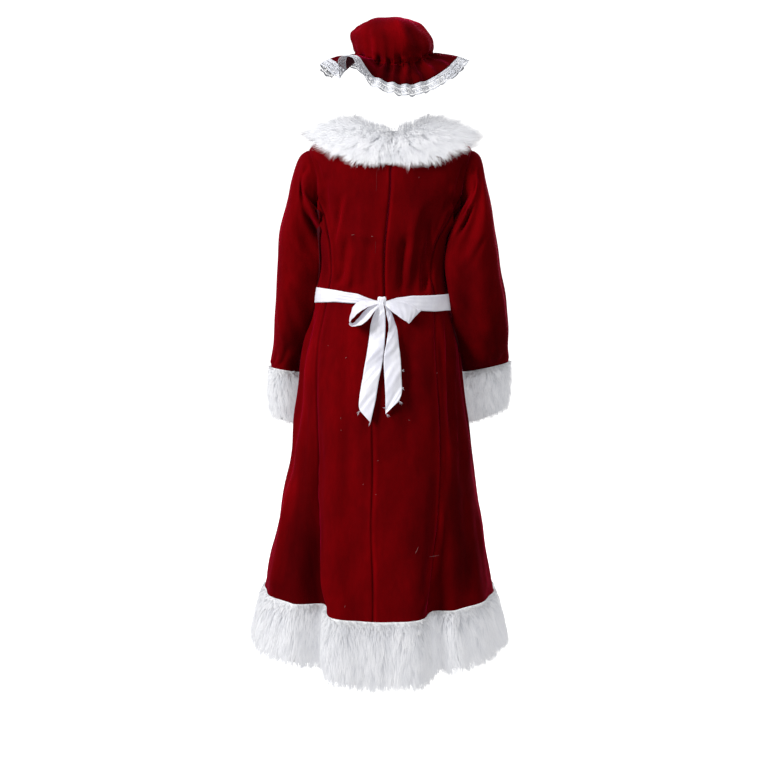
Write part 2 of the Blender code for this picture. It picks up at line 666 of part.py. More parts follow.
def build_knot():
    """A rounded wrap of ribbon with two soft creases down its face."""
    turns, levels = 20, 9
    across, up = np.meshgrid(np.linspace(0, 2 * math.pi, turns, endpoint=False), np.linspace(-1, 1, levels))
    swell = 0.80 + 0.20 * np.sqrt(1 - (0.92 * up) ** 2)
    crease = 1 - 0.07 * np.cos(3 * across) ** 2 * (np.sin(across) < 0)
    wide, deep, tall = (size / 2 for size in KNOT_SIZE)
    outer = np.stack([
        wide * swell * crease * signed_power(np.cos(across), 0.75),
        deep * swell * crease * signed_power(np.sin(across), 0.75),
        tall * up,
    ], axis=-1) + knot_middle()
    points = np.concatenate([outer.reshape(-1, 3), [outer[0].mean(axis=0)], [outer[-1].mean(axis=0)]])
    faces = []
    for level in range(levels - 1):
        for turn in range(turns):
            right = (turn + 1) % turns
            low, high = level * turns, (level + 1) * turns
            faces.append((low + turn, low + right, high + right, high + turn))
    bottom, top = levels * turns, levels * turns + 1
    for turn in range(turns):
        right = (turn + 1) % turns
        faces.append((bottom, right, turn))
        faces.append((top, (levels - 1) * turns + turn, (levels - 1) * turns + right))
    add_object("bow_knot", points, faces, "satin", "sash_and_bow")


def ribbon(name, path, width_way, widths, columns=3):
    """A strip of ribbon along a path. Its width lies along width_way, and its thickness across both."""
    along = unit(np.gradient(path, axis=0))
    width_way = unit(width_way - along * (width_way * along).sum(axis=-1, keepdims=True))
    face = np.cross(along, width_way)
    steps = np.linspace(-0.5, 0.5, columns)
    grid = path[:, None] + width_way[:, None] * (steps[None] * widths[:, None])[..., None]
    half = face[:, None] * SATIN / 2
    wall(name, grid + half, grid - half, grid, "satin", "sash_and_bow")


def build_loops():
    """Each loop leaves the knot's side, turns round its far end and comes back, rolled so that its hollow shows."""
    for name, (tucked, reach, fall, droop, forward, spread, roll, width) in BOW_LOOPS.items():
        turn = np.linspace(0.1, 0.9, 15) * 2 * math.pi
        sign = math.copysign(1.0, reach)
        start = knot_middle() + np.array([sign * (KNOT_SIZE[0] / 2 - tucked), -2.0, 0.0])
        out = ((1 - np.cos(turn)) / 2)[:, None]
        middle = start + np.concatenate([reach * out, -forward * out, fall * out**droop], axis=1)
        slope = fall * droop * out ** (droop - 1)
        axis = unit(np.concatenate([np.full_like(out, reach), np.full_like(out, -forward), slope], axis=1))
        level = unit(np.cross(axis, [0.0, 0.0, 1.0])) * sign
        upright = np.cross(level, axis) * sign
        tilt = math.radians(roll)
        apart = -np.sin(turn)[:, None] * np.sqrt(out) * spread / 2
        path = middle + (level * math.cos(tilt) + upright * math.sin(tilt)) * apart
        widths = width * (0.42 + 0.58 * smooth_step(out[:, 0] / 0.45))
        ribbon(name, path, upright * math.cos(tilt) - level * math.sin(tilt), widths)


def build_tails():
    """The two free ends hang over the skirt's back and are cut on the slant."""
    for name, rows in BOW_TAILS.items():
        table = columns_of(TAIL_COLUMNS, rows)
        at = np.linspace(0, len(rows) - 1, TAIL_ROWS)
        x, z, lift, width, twist = (smooth_read(table[column], at) for column in TAIL_COLUMNS)
        steps = np.linspace(-0.5, 0.5, 4)
        cut = np.interp(steps, (-0.5, 0.5), TAIL_CUT[name])
        end = smooth_step((at / at[-1] - 0.7) / 0.3)
        xs = x[:, None] + steps[None] * width[:, None]
        zs = z[:, None] - end[:, None] * cut[None]
        angle, row = back_place(xs, zs)
        surface, normal = dress_point(angle, row), dress_normal(angle, row)
        tip = np.sin(np.radians(twist))[:, None] * steps[None] * width[:, None]
        bow = 1.5 * np.cos(steps * math.pi)[None]
        raised = surface + normal * (lift[:, None] + tip + bow)[..., None]
        inner = raised - normal * SATIN
        wall(name, raised, inner, raised, "satin", "sash_and_bow")


def droop_at(angle):
    """The brim's droop at an angle round the cap, read smoothly from its table."""
    places = np.array([-20.0, *BRIM_DROOP, 360.0, 380.0])
    values = np.array([BRIM_DROOP[340], *BRIM_DROOP.values(), BRIM_DROOP[0], BRIM_DROOP[20]], float)
    wrapped = np.asarray(angle, float) % 360.0
    return np.radians(smooth_read(values, np.interp(wrapped, places, np.arange(len(places)))))


def gather_wave(angle):
    """The little gathers round the elastic, a little uneven from one to the next."""
    turn = np.radians(angle)
    return np.cos(GATHERS * turn + 0.8 * np.sin(3 * turn) + 0.5 * np.sin(5 * turn + 1.0))


def cap_ring(angle, row):
    """The crown's outer surface at an angle round the cap and a row of CAP_SECTIONS."""
    part = {name: smooth_read(values, row) for name, values in CAP.items()}
    sine, cosine = np.sin(np.radians(angle)), np.cos(np.radians(angle))
    swell = 1 + part["gather"] * gather_wave(angle) / 100.0
    x = CAP_CENTRE_X + part["shift_x"] + part["half_width"] * swell * sine
    y = CAP_CENTRE_Y - part["half_depth"] * swell * cosine
    end_z = np.where(cosine > 0, part["back_z"], part["front_z"])
    z = part["side_z"] + (end_z - part["side_z"]) * np.abs(cosine) ** 1.5
    return np.stack([x, y, z], axis=-1)


def brim_point(angle, reach):
    """The brim and lace, reach millimetres along the cloth from the elastic."""
    start = cap_ring(angle, np.full_like(np.asarray(angle, float), ELASTIC))
    turn = np.radians(angle)
    out = np.stack([np.sin(turn), -np.cos(turn), np.zeros_like(turn)], axis=-1)
    down = np.array([0.0, 0.0, -1.0])
    droop = droop_at(angle)[..., None]
    curl = 0.25 * (1 - np.asarray(reach)[..., None] / (BRIM_WIDTH + LACE_WIDTH))
    hang = droop - curl
    along, across = out * np.cos(hang) + down * np.sin(hang), out * np.sin(hang) - down * np.cos(hang)
    size = np.interp(reach, (0, BRIM_WIDTH, BRIM_WIDTH + LACE_WIDTH), (0, BRIM_RUFFLE, LACE_RUFFLE))
    wave = (size * gather_wave(angle))[..., None]
    return start + along * np.asarray(reach)[..., None] + across * wave


def cap_angles():
    return np.linspace(0, 360, GATHERS * POINTS_PER_GATHER, endpoint=False)


def build_cap():
    """One disc of velvet: the crown, gathered on its elastic, and the brim below it."""
    angles = cap_angles()
    crown = np.stack([cap_ring(angles, np.full_like(angles, row)) for row in range(len(CAP_SECTIONS))])
    reaches = np.linspace(0, BRIM_WIDTH, BRIM_ROWS + 1)[1:]
    brim = np.stack([brim_point(angles, np.full_like(angles, reach)) for reach in reaches])
    rings = np.concatenate([crown, brim])
    rows, columns = rings.shape[:2]
    middle = rings[0].mean(axis=0) + np.array([0.0, 0.0, 0.3])
    outer = np.concatenate([rings.reshape(-1, 3), [middle]])
    faces = [tuple(reversed(face)) for face in grid_faces(rings, wrap=True)]
    faces += [(rows * columns, c, (c + 1) % columns) for c in range(columns)]
    thicken("cap", outer, skin_within(outer, faces, -VELVET), faces, "velvet", "cap_set")


def build_lace():
    """The gathered lace edge in two lengths, the largest gap of each repeat cut through."""
    angles = cap_angles()
    columns = len(angles)
    reaches = BRIM_WIDTH + np.array([LACE_GAP, LACE_GAP + LACE_WIDTH])
    top, bottom = (brim_point(angles, np.full_like(angles, reach)) for reach in reaches)
    corners = []
    for across, along in ((0.26, 0.30), (0.74, 0.30), (0.74, 0.68), (0.26, 0.68)):
        left = top + (bottom - top) * along
        right = np.roll(top, -1, axis=0) + np.roll(bottom - top, -1, axis=0) * along
        corners.append(left + (right - left) * across)
    outer = np.concatenate([top, bottom, *corners])
    faces = []
    for c in range(columns):
        right = (c + 1) % columns
        gap = [(2 + i) * columns + c for i in range(4)]
        edge = [c, right, columns + right, columns + c]
        for i in range(4):
            j = (i + 1) % 4
            faces += [(edge[j], edge[i], gap[i]), (edge[j], gap[i], gap[j])]
    inner = skin_within(outer, faces, -LACE)
    half = columns // 2
    for name, first in (("cap_lace_right", 0), ("cap_lace_left", half)):
        here = [first + i for i in range(half + 1)]
        picked = [c % columns for c in here] + [columns + c % columns for c in here]
        picked += [(2 + i) * columns + c for i in range(4) for c in here[:-1]]
        place = {point: i for i, point in enumerate(picked)}
        wanted = [tuple(place[p] for p in face) for face in faces[8 * first : 8 * (first + half)]]
        skins = []
        for skin in (outer, inner):
            length = skin[picked].copy()
            for row in (length[: half + 1], length[half + 1 : 2 * half + 2]):
                row[0] += unit(row[1] - row[0]) * SEAM_GAP / 2
                row[-1] += unit(row[-2] - row[-1]) * SEAM_GAP / 2
            skins.append(length)
        thicken(name, *skins, wanted, "lace", "cap_set")


def main():
    clear_scene()
    for name in MATERIALS:
        make_material(name)
    for name in ("dress", "sash_and_bow", "cap_set"):
        group = bpy.data.objects.new(name, None)
        bpy.context.scene.collection.objects.link(group)
    build_panels()
    build_sleeves_and_cuffs()
    build_collar()
    build_hem()
    build_sash()
    build_knot()
    build_loops()
    build_tails()
    build_cap()
    build_lace()


main()
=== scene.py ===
"""The finished look of the Christmas costume: cut and sewn velvet, combed white fur, the satin sash and bow, and
the gathered cap with its lace edge. Every piece is laid on the same form as the solid that it stands for.

Tables are in millimetres and degrees, and the meshes in metres. +Z is up, +Y is the front of the dress and +X is its
right side as it is worn. The back of the dress faces the camera.
"""

import math

import bpy
import numpy as np
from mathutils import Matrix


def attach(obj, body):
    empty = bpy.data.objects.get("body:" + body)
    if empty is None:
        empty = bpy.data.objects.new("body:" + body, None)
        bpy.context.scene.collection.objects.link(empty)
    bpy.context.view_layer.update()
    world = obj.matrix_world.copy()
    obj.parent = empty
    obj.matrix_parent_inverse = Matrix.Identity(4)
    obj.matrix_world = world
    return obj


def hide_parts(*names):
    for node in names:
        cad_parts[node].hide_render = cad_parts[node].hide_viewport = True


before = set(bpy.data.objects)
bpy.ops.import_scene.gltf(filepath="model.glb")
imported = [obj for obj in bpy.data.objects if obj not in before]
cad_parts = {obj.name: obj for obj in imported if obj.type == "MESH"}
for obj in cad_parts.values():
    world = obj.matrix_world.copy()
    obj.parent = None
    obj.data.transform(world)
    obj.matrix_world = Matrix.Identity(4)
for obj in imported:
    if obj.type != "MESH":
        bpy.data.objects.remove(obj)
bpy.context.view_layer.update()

MM = 0.001

# How thick each cloth is, and the gaps between what lies on what.
VELVET, CAP_VELVET = 2.0, 1.4
SATIN, SASH_SATIN, BOW_SATIN = 1.0, 0.6, 0.5
LACE, BACKING = 0.5, 1.0
LAY_GAP, KNOT_GAP, LACE_GAP = 0.6, 1.35, 0.8

# Where the pieces begin and end, counted in rows of the SECTIONS table, and the armhole's half width in degrees.
SHOULDER_TIP, UNDERARM = 3.0, 5.0
PRINCESS_TOP = 4.4
COLLAR_EDGE = 2.5
SASH_TOP, SASH_BOTTOM = 8.0, 9.0
FUR_TOP, HEM = 15.0, 16.0
CLOTH_END = 15.25
ARMHOLE_MIDDLE = (SHOULDER_TIP + UNDERARM) / 2
ARMHOLE_BACK, ARMHOLE_FRONT = 28.0, 28.0

# Angles run round the body from the centre back, by the right side at 90, to the centre front at 180.
SECTION_COLUMNS = (
    "half_width", "back", "front", "side_z", "back_z", "front_z", "right_drop", "bend", "centre_x", "squareness",
    "centre_seam", "seam_right", "seam_left", "seam_front",
)
SECTIONS = {
    "neckline":     (74, 70, 76, 4, -18, -70, 0, 2.0, 4, 2.00, 0, 60, 60, 52),
    "neck_slope":   (108, 90, 98, -8, -42, -94, 0, 2.0, 5, 2.10, 0, 60, 60, 52),
    "yoke":         (148, 106, 112, -24, -74, -124, 0, 2.0, 6, 2.25, 0, 60, 60, 52),
    "shoulder_tip": (190, 115, 124, -50, -110, -160, 0, 2.0, 1, 2.45, 0, 60, 60, 52),
    "armhole_mid":  (188, 122, 138, -118, -152, -194, 0, 2.0, 0, 2.50, 0, 59, 60, 54),
    "underarm":     (171, 124, 148, -208, -208, -232, 0, 2.0, -5, 2.40, 0, 55, 57, 54),
    "bust":         (158, 121, 150, -275, -275, -285, 0, 2.0, -12, 2.25, 0, 46, 52, 50),
    "ribs":         (154, 113, 132, -335, -336, -338, 6, 2.0, -14, 2.20, 0, 43, 51, 47),
    "sash_top":     (161, 108, 118, -370, -380, -378, 16, 2.0, -13, 2.15, 0, 44, 52, 46),
    "sash_bottom":  (163, 110, 120, -409, -419, -417, 16, 2.0, -14, 2.15, 0, 44, 55, 46),
    "high_hip":     (184, 138, 136, -500, -510, -508, 10, 2.0, -20, 2.10, -3, 41, 53, 46),
    "hip":          (201, 162, 152, -636, -642, -638, 4, 2.0, -21, 2.10, -5, 40, 49, 46),
    "thigh":        (219, 180, 170, -780, -786, -780, 2, 2.0, -19, 2.05, -5, 37, 46, 46),
    "knee":         (239, 196, 188, -900, -908, -902, 2, 2.4, -22, 2.00, -5, 34, 42, 46),
    "shin":         (260, 212, 206, -1008, -1020, -1010, 4, 3.0, -25, 2.00, -3, 29, 36, 44),
    "fur_top":      (276, 225, 220, -1080, -1108, -1090, 8, 3.6, -24, 2.00, -3, 24, 30, 42),
    "hem":          (299, 243, 240, -1198, -1248, -1218, 2, 3.6, -24, 2.00, -3, 20, 25, 40),
}

# The largest folds: troughs are negative and ridges positive. Each leans from its top angle to its bottom angle.
FOLD_COLUMNS = ("top_row", "full_row", "bottom_row", "top_angle", "bottom_angle", "half_width", "depth")
FOLDS = {
    "left_valley":        (9.6, 15.4, 17.0, -54, -27, 12, -60),
    "left_ridge":         (9.6, 14.5, 17.0, -38, -12, 11, 12),
    "left_side_flare":    (11.0, 15.5, 17.0, -80, -52, 15, 12),
    "right_valley":       (11.5, 15.8, 17.0, 37, 24, 10, -38),
    "right_ridge":        (12.0, 15.5, 17.0, 24, 10, 11, 8),
    "right_side_flare":   (12.0, 15.8, 17.0, 64, 48, 14, 12),
    "right_side_valley":  (11.5, 15.8, 17.0, 98, 86, 12, -14),
    "left_side_valley":   (11.5, 15.8, 17.0, -112, -98, 12, -16),
    "front_right_valley": (10.5, 15.8, 17.0, 132, 146, 12, -38),
    "front_left_valley":  (10.5, 15.8, 17.0, 228, 214, 12, -34),
    "front_ridge":        (10.5, 15.8, 17.0, 168, 178, 16, 12),
    "left_blade":         (3.6, 5.2, 7.8, -58, -38, 9, -5),
    "right_blade":        (3.6, 5.2, 7.8, 54, 34, 9, -5),
    "back_hollow_right":  (5.8, 7.2, 8.0, 27, 21, 9, -5),
    "back_hollow_left":   (5.8, 7.2, 8.0, -29, -23, 9, -4),
    "hip_hollow_right":   (9.0, 10.2, 12.5, 62, 56, 10, -6),
    "hip_hollow_left":    (9.0, 10.0, 11.8, -74, -70, 9, -6),
}

# Sleeve rings from the armhole down. Outer and inner x are counted outwards from the middle of the neck.
SLEEVE_COLUMNS = ("outer_x", "outer_z", "inner_x", "inner_z", "centre_y", "half_depth")
SLEEVES = {
    "left": {
        "head":      (212, -66, 181, -214, 1, 66),
        "cap_line":  (230, -118, 179, -230, 4, 68),
        "upper_1":   (249, -188, 176, -254, 10, 69),
        "upper_2":   (264, -250, 173, -290, 16, 68),
        "upper_3":   (272, -315, 171, -332, 22, 66),
        "elbow":     (276, -400, 181, -404, 28, 64),
        "forearm_1": (281, -475, 201, -480, 46, 61),
        "forearm_2": (287, -535, 210, -542, 68, 57),
        "cuff_top":  (290, -562, 215, -574, 78, 56),
        "cuff_mid":  (291, -626, 219, -638, 92, 54),
        "cuff_end":  (286, -684, 218, -702, 102, 52),
    },
    "right": {
        "head":      (212, -66, 169, -214, -8, 66),
        "cap_line":  (224, -118, 161, -230, -22, 66),
        "upper_1":   (237, -188, 151, -254, -34, 67),
        "upper_2":   (247, -250, 141.7, -290, -38, 67),
        "upper_3":   (257, -315, 139, -332, -37, 66),
        "elbow":     (270, -400, 150.5, -404, -26, 64),
        "forearm_1": (281, -472, 161, -480, -2, 61),
        "forearm_2": (286, -526, 169.5, -542, 28, 59),
        "cuff_top":  (287, -548, 176, -572, 50, 57),
        "cuff_mid":  (286, -608, 190, -634, 76, 55),
        "cuff_end":  (282, -662, 196, -698, 91, 53),
    },
}
# The cuff and the end of the sleeve inside it, counted in rings after the armhole's.
CUFF_TOP, SLEEVE_END, CUFF_END = 9.0, 9.4, 11.0
SIDE_SIGN = {"left": -1.0, "right": 1.0}

# Sleeve creases: ring angle 0 is the outer side, 90 the back, 180 the side against the body, 270 the front.
CREASE_COLUMNS = ("top_ring", "bottom_ring", "top_angle", "bottom_angle", "half_width", "depth")
SLEEVE_CREASES = {
    "back_drag":     (0.6, 5.0, 40, 122, 26, -7),
    "back_drag_low": (1.4, 6.2, 80, 132, 20, -5),
    "elbow_tuck":    (4.6, 7.4, 100, 134, 26, -6),
    "front_drag":    (0.8, 5.4, 310, 238, 26, -6),
    "front_tuck":    (5.0, 8.0, 300, 244, 24, -5),
}

# The cap, from the middle of the crown to the lace's outer edge.
CAP_CENTRE_X, CAP_CENTRE_Y = 5.0, 20.0
CAP_COLUMNS = ("half_width", "half_depth", "back_z", "side_z", "front_z", "shift_x", "gather")
CAP_SECTIONS = {
    "crown_middle": (3, 3, 252, 254, 256, -9, 0.0),
    "crown_top":    (46, 52, 249, 254, 257, -8, 0.0),
    "crown_bend":   (75, 92, 230, 240, 252, -8, 0.2),
    "crown_side":   (90, 114, 200, 220, 242, -5, 0.1),
    "crown_puff":   (95, 118, 168, 198, 230, 2, 0.4),
    "crown_tuck":   (93, 113, 144, 184, 219, 3, 1.1),
    "elastic":      (90, 106, 131, 176, 213, 3, 2.6),
}
ELASTIC = 6
BRIM_WIDTH, LACE_WIDTH = 60.0, 28.0
# The gathers round the elastic, and how deep they still are at the brim's edge and the lace's.
GATHERS, BRIM_RUFFLE, LACE_RUFFLE = 24, 1.8, 2.8
# How far the brim hangs below the level, round the cap from the centre back.
BRIM_DROOP = {
    0: 60, 20: 67, 40: 60, 60: 37, 80: 14, 100: 14, 120: 38, 140: 22, 160: 8, 180: 26, 200: 36, 220: 14,
    240: 30, 260: 32, 280: 20, 296: 24, 308: 38, 318: 9, 328: 5, 340: 44,
}

# The bow's knot: the width, depth and height of the space that it takes up, and its place as x and z.
KNOT_SIZE = (24.0, 15.0, 30.0)
KNOT_PLACE = (-14.0, -406.0)

# Softer creases in the velvet: top row, bottom row, angle at the top, angle at the bottom, half width in degrees and
# depth in millimetres. Troughs are negative and ridges positive.
BODY_CREASES = {
    "left_armhole": (
        (3.2, 4.5, -60, -52, 3.0, -4.4), (4.0, 5.4, -54, -69, 3.0, 5.1), (5.0, 6.0, -69, -44, 3.5, 4.2),
        (3.6, 5.2, -45, -57, 3.5, -4.2),
    ),
    "left_bodice": (
        (4.2, 6.1, -31, -48, 3.0, -5.1), (4.2, 6.0, -26, -44, 2.6, 2.7), (5.6, 7.9, -30, -43, 3.2, -5.4),
        (6.0, 8.1, -24, -32, 3.0, 3.4), (5.7, 8.1, -11, -16, 4.5, -3.7), (4.6, 7.0, -18, -13, 5.0, 2.4),
        (5.55, 5.95, -30, -3, 9.0, 1.4),
    ),
    "right_bodice": (
        (5.6, 8.1, 15, 12.5, 3.2, -6.1), (4.4, 8.1, 18, 22, 4.0, 3.7), (6.4, 8.1, 49, 28, 3.0, -4.8),
        (4.6, 6.6, 48, 42, 3.2, 5.1), (5.2, 7.2, 32, 45, 2.6, -6.1), (5.6, 6.8, 50, 44, 2.6, -5.1),
        (6.0, 8.1, 34, 36, 3.0, -3.4),
    ),
    "right_armhole": (
        (3.3, 4.7, 58, 49, 3.0, -4.2), (4.4, 5.5, 50, 71, 3.6, -8.5), (4.0, 5.6, 44, 62, 3.0, 4.4),
        (5.3, 8.1, 62, 71, 3.2, -5.1),
    ),
    "skirt_left": (
        (8.8, 11.2, -56, -47, 2.6, -4.8), (9.0, 11.6, -50, -42, 2.4, 2.7), (11.2, 15.4, -46, -20, 1.8, 5.4),
        (10.6, 14.8, -62, -46, 3.5, -6.0), (9.0, 12.8, -80, -72, 4.0, -5.1), (12.0, 15.4, -70, -58, 3.0, 4.4),
        (9.2, 13.0, -26, -17, 5.0, -2.7),
    ),
    "skirt_right": (
        (8.5, 10.8, 46, 44, 2.2, -4.4), (9.1, 12.0, 59, 49, 2.4, -5.4), (9.5, 12.6, 70, 46, 2.2, 5.4),
        (11.4, 15.4, 49, 16, 1.8, 5.1), (11.0, 14.2, 43, 34, 2.0, -4.1), (12.2, 15.4, 58, 46, 3.0, -5.4),
        (9.0, 12.8, 84, 78, 4.0, -5.1), (9.3, 12.5, 20, 13, 5.0, -2.4), (12.6, 15.4, 74, 64, 3.0, 4.4),
    ),
    "front": (
        (4.4, 6.6, 150, 127, 3.4, -5.4), (4.6, 6.8, 211, 233, 3.4, -5.1), (4.2, 6.0, 157, 140, 3.0, 3.1),
        (5.4, 8.1, 166, 160, 3.6, -4.4), (5.8, 8.1, 196, 203, 3.2, -5.1), (6.2, 8.1, 176, 174, 3.0, 3.1),
        (6.0, 8.1, 224, 216, 3.4, -3.7), (6.4, 8.1, 140, 148, 3.2, -4.1), (9.2, 12.2, 174, 170, 4.0, -4.4),
        (9.0, 12.0, 141, 136, 3.2, -5.1), (9.2, 12.4, 221, 227, 3.4, -4.8), (10.5, 15.2, 158, 152, 3.4, 4.8),
        (11.0, 15.3, 203, 208, 3.6, 4.4), (12.0, 15.3, 186, 190, 4.0, -5.1),
    ),
    "sides": (
        (9.3, 12.4, 94, 98, 4.0, -5.4), (9.2, 12.0, 267, 262, 4.0, -4.8), (10.0, 14.6, 108, 114, 4.0, 4.4),
        (10.4, 14.8, 252, 246, 4.0, 4.1), (5.6, 7.9, 96, 92, 4.0, -4.4), (5.8, 8.0, 264, 268, 4.0, -4.4),
        (5.2, 6.8, 112, 104, 3.6, -4.1), (5.3, 6.9, 248, 257, 3.6, -4.4),
    ),
}
SOFT_SLEEVE_CREASES = {
    "left": (
        (0.3, 2.4, 58, 96, 7, -4.2), (1.0, 3.8, 66, 132, 9, -6.7), (1.3, 4.0, 86, 148, 8, 4.8),
        (2.1, 4.8, 92, 148, 9, -6.1), (3.6, 5.2, 60, 118, 8, -3.2), (4.9, 6.6, 58, 128, 9, -4.2),
        (5.7, 7.5, 66, 122, 9, -3.5), (6.0, 7.6, 40, 86, 9, 2.6), (7.3, 9.2, 96, 64, 10, -3.2),
        (7.6, 9.3, 52, 30, 9, -2.6), (1.0, 3.4, 302, 240, 8, -5.1), (3.5, 5.4, 292, 246, 8, -4.8),
        (4.2, 6.2, 284, 240, 7, 2.9), (5.8, 7.6, 286, 248, 8, -3.8), (7.4, 9.2, 268, 292, 9, -2.9),
        (2.0, 7.4, 18, 12, 11, -2.6), (2.8, 6.8, 346, 352, 10, -2.2), (2.0, 3.5, 98, 142, 4.5, 7.0),
        (1.8, 3.0, 106, 144, 4.5, -7.5), (2.5, 4.0, 102, 142, 4.5, -8.0),
    ),
    "right": (
        (0.5, 2.7, 56, 122, 7, 4.5), (0.8, 3.2, 70, 136, 7, -6.7), (1.3, 3.8, 84, 146, 7, 5.1),
        (1.9, 4.4, 96, 150, 8, -6.7), (0.2, 2.0, 74, 58, 7, -3.5), (3.8, 5.4, 66, 116, 8, -2.9),
        (4.5, 6.3, 142, 78, 8, -4.5), (5.4, 7.1, 138, 84, 8, -3.8), (5.0, 6.6, 118, 74, 8, 2.6),
        (7.2, 9.2, 84, 70, 10, -2.9), (7.8, 9.3, 40, 54, 9, -2.6), (1.0, 3.5, 300, 238, 8, -4.8),
        (3.6, 5.6, 290, 244, 8, -4.8), (4.4, 6.4, 282, 240, 7, 2.9), (6.0, 7.7, 284, 250, 8, -3.5),
        (2.2, 7.6, 14, 20, 11, -2.6), (3.0, 7.0, 350, 344, 10, -2.2),
        (1.9, 3.3, 96, 144, 4.5, 7.0), (1.6, 2.8, 104, 146, 4.5, -7.5), (2.3, 3.8, 100, 144, 4.5, -8.0),
    ),
}
CREASE_GAIN, SLEEVE_CREASE_GAIN, PUCKER_GAIN = 1.5, 1.25, 1.0

# Painted shade and painted highlights on the velvet, laid out as the creases are: darker above zero, lighter below
# zero.
PAINTED_LIGHT_CROWN = (
    (0.3, 3.4, 318, 300, 4, -0.45), (0.4, 3.8, 345, 335, 12, 0.26), (1.6, 5.4, 12, 20, 5, -0.35),
    (2.2, 5.6, 30, 34, 8, 0.30), (1.0, 3.4, 66, 74, 7, -0.45), (2.6, 5.9, 350, 352, 7, 0.30),
    (3.2, 6.0, 332, 328, 5, -0.30), (2.0, 5.6, 84, 86, 9, 0.25), (0.4, 2.6, 20, 48, 10, 0.20),
    (1.0, 4.4, 140, 150, 6, -0.35), (1.6, 5.2, 172, 178, 10, 0.25), (1.2, 4.6, 218, 208, 6, -0.35),
    (1.6, 5.4, 244, 240, 10, 0.25),
)
# The brim is painted a shade darker than the crown, with painted shade and highlight marks by the distance from the
# elastic.
PAINTED_BRIM_SHADE = 0.58
PAINTED_LIGHT_BRIM = (
    (2, 54, 335, 338, 4, -0.35), (2, 60, 352, 354, 3, 0.25), (4, 58, 14, 16, 4, -0.30), (2, 50, 27, 30, 4, 0.22),
    (6, 60, 44, 46, 4, -0.30), (2, 56, 62, 64, 6, 0.20), (2, 56, 120, 124, 5, -0.25), (2, 56, 160, 156, 6, 0.2),
    (2, 56, 204, 206, 5, -0.25), (2, 56, 246, 250, 6, 0.2),
)
PAINTED_LIGHT_BODY = (
    (11.0, 16.2, -62, -44, 15, 0.36), (12.8, 16.4, -43, -30, 5, 0.34), (9.2, 15.8, 72, 58, 17, 0.22),
    (11.6, 16.2, 47, 34, 10, 0.26), (9.0, 15.6, 43, 27, 1.6, -0.60), (9.4, 12.6, 54, 40, 2.2, -0.75),
    (12.4, 14.6, 39, 22, 2.0, -0.55), (8.8, 13.6, -66, -60, 5, -0.30), (10.4, 13.2, -74, -70, 6, -0.45),
    (3.0, 5.6, 66, 60, 6, 0.35), (3.0, 5.6, -66, -60, 6, 0.30), (5.2, 7.4, 66, 50, 8, 0.32),
    (5.4, 8.2, -70, -62, 8, 0.28), (5.0, 8.2, -12, -8, 11, -0.10), (4.2, 6.0, -28, -44, 2.4, -0.35),
    (5.4, 8.0, 41, 38, 2.2, -0.35), (9.0, 11.6, 8, 4, 16, 0.10), (9.2, 13.0, 256, 262, 16, 0.20),
    (9.2, 13.0, 104, 98, 16, 0.20), (11.0, 16.0, 214, 222, 14, 0.26), (11.0, 16.0, 146, 138, 14, 0.24),
    (4.4, 7.8, 150, 138, 3.0, -0.30), (4.6, 7.8, 212, 224, 3.0, -0.30), (9.0, 15.6, 172, 176, 12, -0.10),
)
PAINTED_LIGHT_SLEEVES = {
    "left": (
        (1.0, 9.4, 20, 14, 14, -0.35), (2.0, 4.6, 112, 140, 14, 0.32), (4.8, 7.8, 118, 128, 18, 0.26),
        (2.2, 3.6, 100, 140, 3.6, -0.45), (6.0, 9.2, 84, 96, 12, 0.14), (1.0, 9.0, 342, 346, 12, -0.25),
        (2.0, 5.0, 250, 222, 16, 0.28), (5.0, 8.0, 262, 236, 16, 0.24),
    ),
    "right": (
        (1.8, 4.4, 110, 140, 14, 0.34), (4.8, 7.8, 112, 130, 18, 0.24), (2.0, 3.4, 98, 142, 3.6, -0.45),
        (1.0, 3.8, 54, 44, 6, -0.25), (5.6, 9.0, 74, 62, 10, 0.14), (1.0, 9.0, 16, 16, 10, -0.28),
        (2.0, 5.0, 250, 222, 16, 0.28), (5.0, 8.0, 262, 236, 16, 0.24),
    ),
}

# How each sleeve's slack laps over the back of the body: how far, the row where it starts, the ring angle of its
# fold, and the share of it at each ring angle.
SLEEVE_LAP = {
    "left": {
        "reach": 30.0, "start": 0.8, "fold": 128.0,
        "share": {80: 0, 95: 0.25, 110: 0.72, 120: 1, 128: 0.95, 136: 0.74, 148: 0.38, 160: 0.15, 172: 0},
    },
    "right": {
        "reach": 20.0, "start": 0.4, "fold": 150.0,
        "share": {88: 0, 110: 0.35, 138: 0.95, 152: 1, 164: 0.60, 176: 0},
    },
}
LAP_END, LAP_CLEARANCE, LAP_THICKNESS = 8.4, 3.0, 4.0
# How much fuller each sleeve is at the back, with the share of it at each ring angle.
SLEEVE_FULLNESS, FULL_SHARE = {"left": 9.0, "right": 2.0}, {30: 0, 95: 1, 150: 0}

# How the seams are sewn, and how far the first columns of points lie from them.
SEAM_COLUMNS = (1.0, 2.6, 5.2)
SEAM_DEPTH, SEAM_ROLL = 2.8, 2.6
# The placket beside the centre back seam, with its stitches, and the back's radius there.
PLACKET_WIDTH, PLACKET_DEPTH, BACK_RADIUS = 12.5, 1.8, 118.0
STITCH = 3.2
STITCH_PITCH = STITCH * 1.45
# Over this far from a seam the creases grow to their full depth.
BODY_EASE, SLEEVE_EASE = 12.0, 15.0
# How finely the rows are laid, and how many samples measure a panel's width.
BODY_STEP, SKIRT_STEP, WIDTH_SAMPLES = 0.12, 0.09, 25

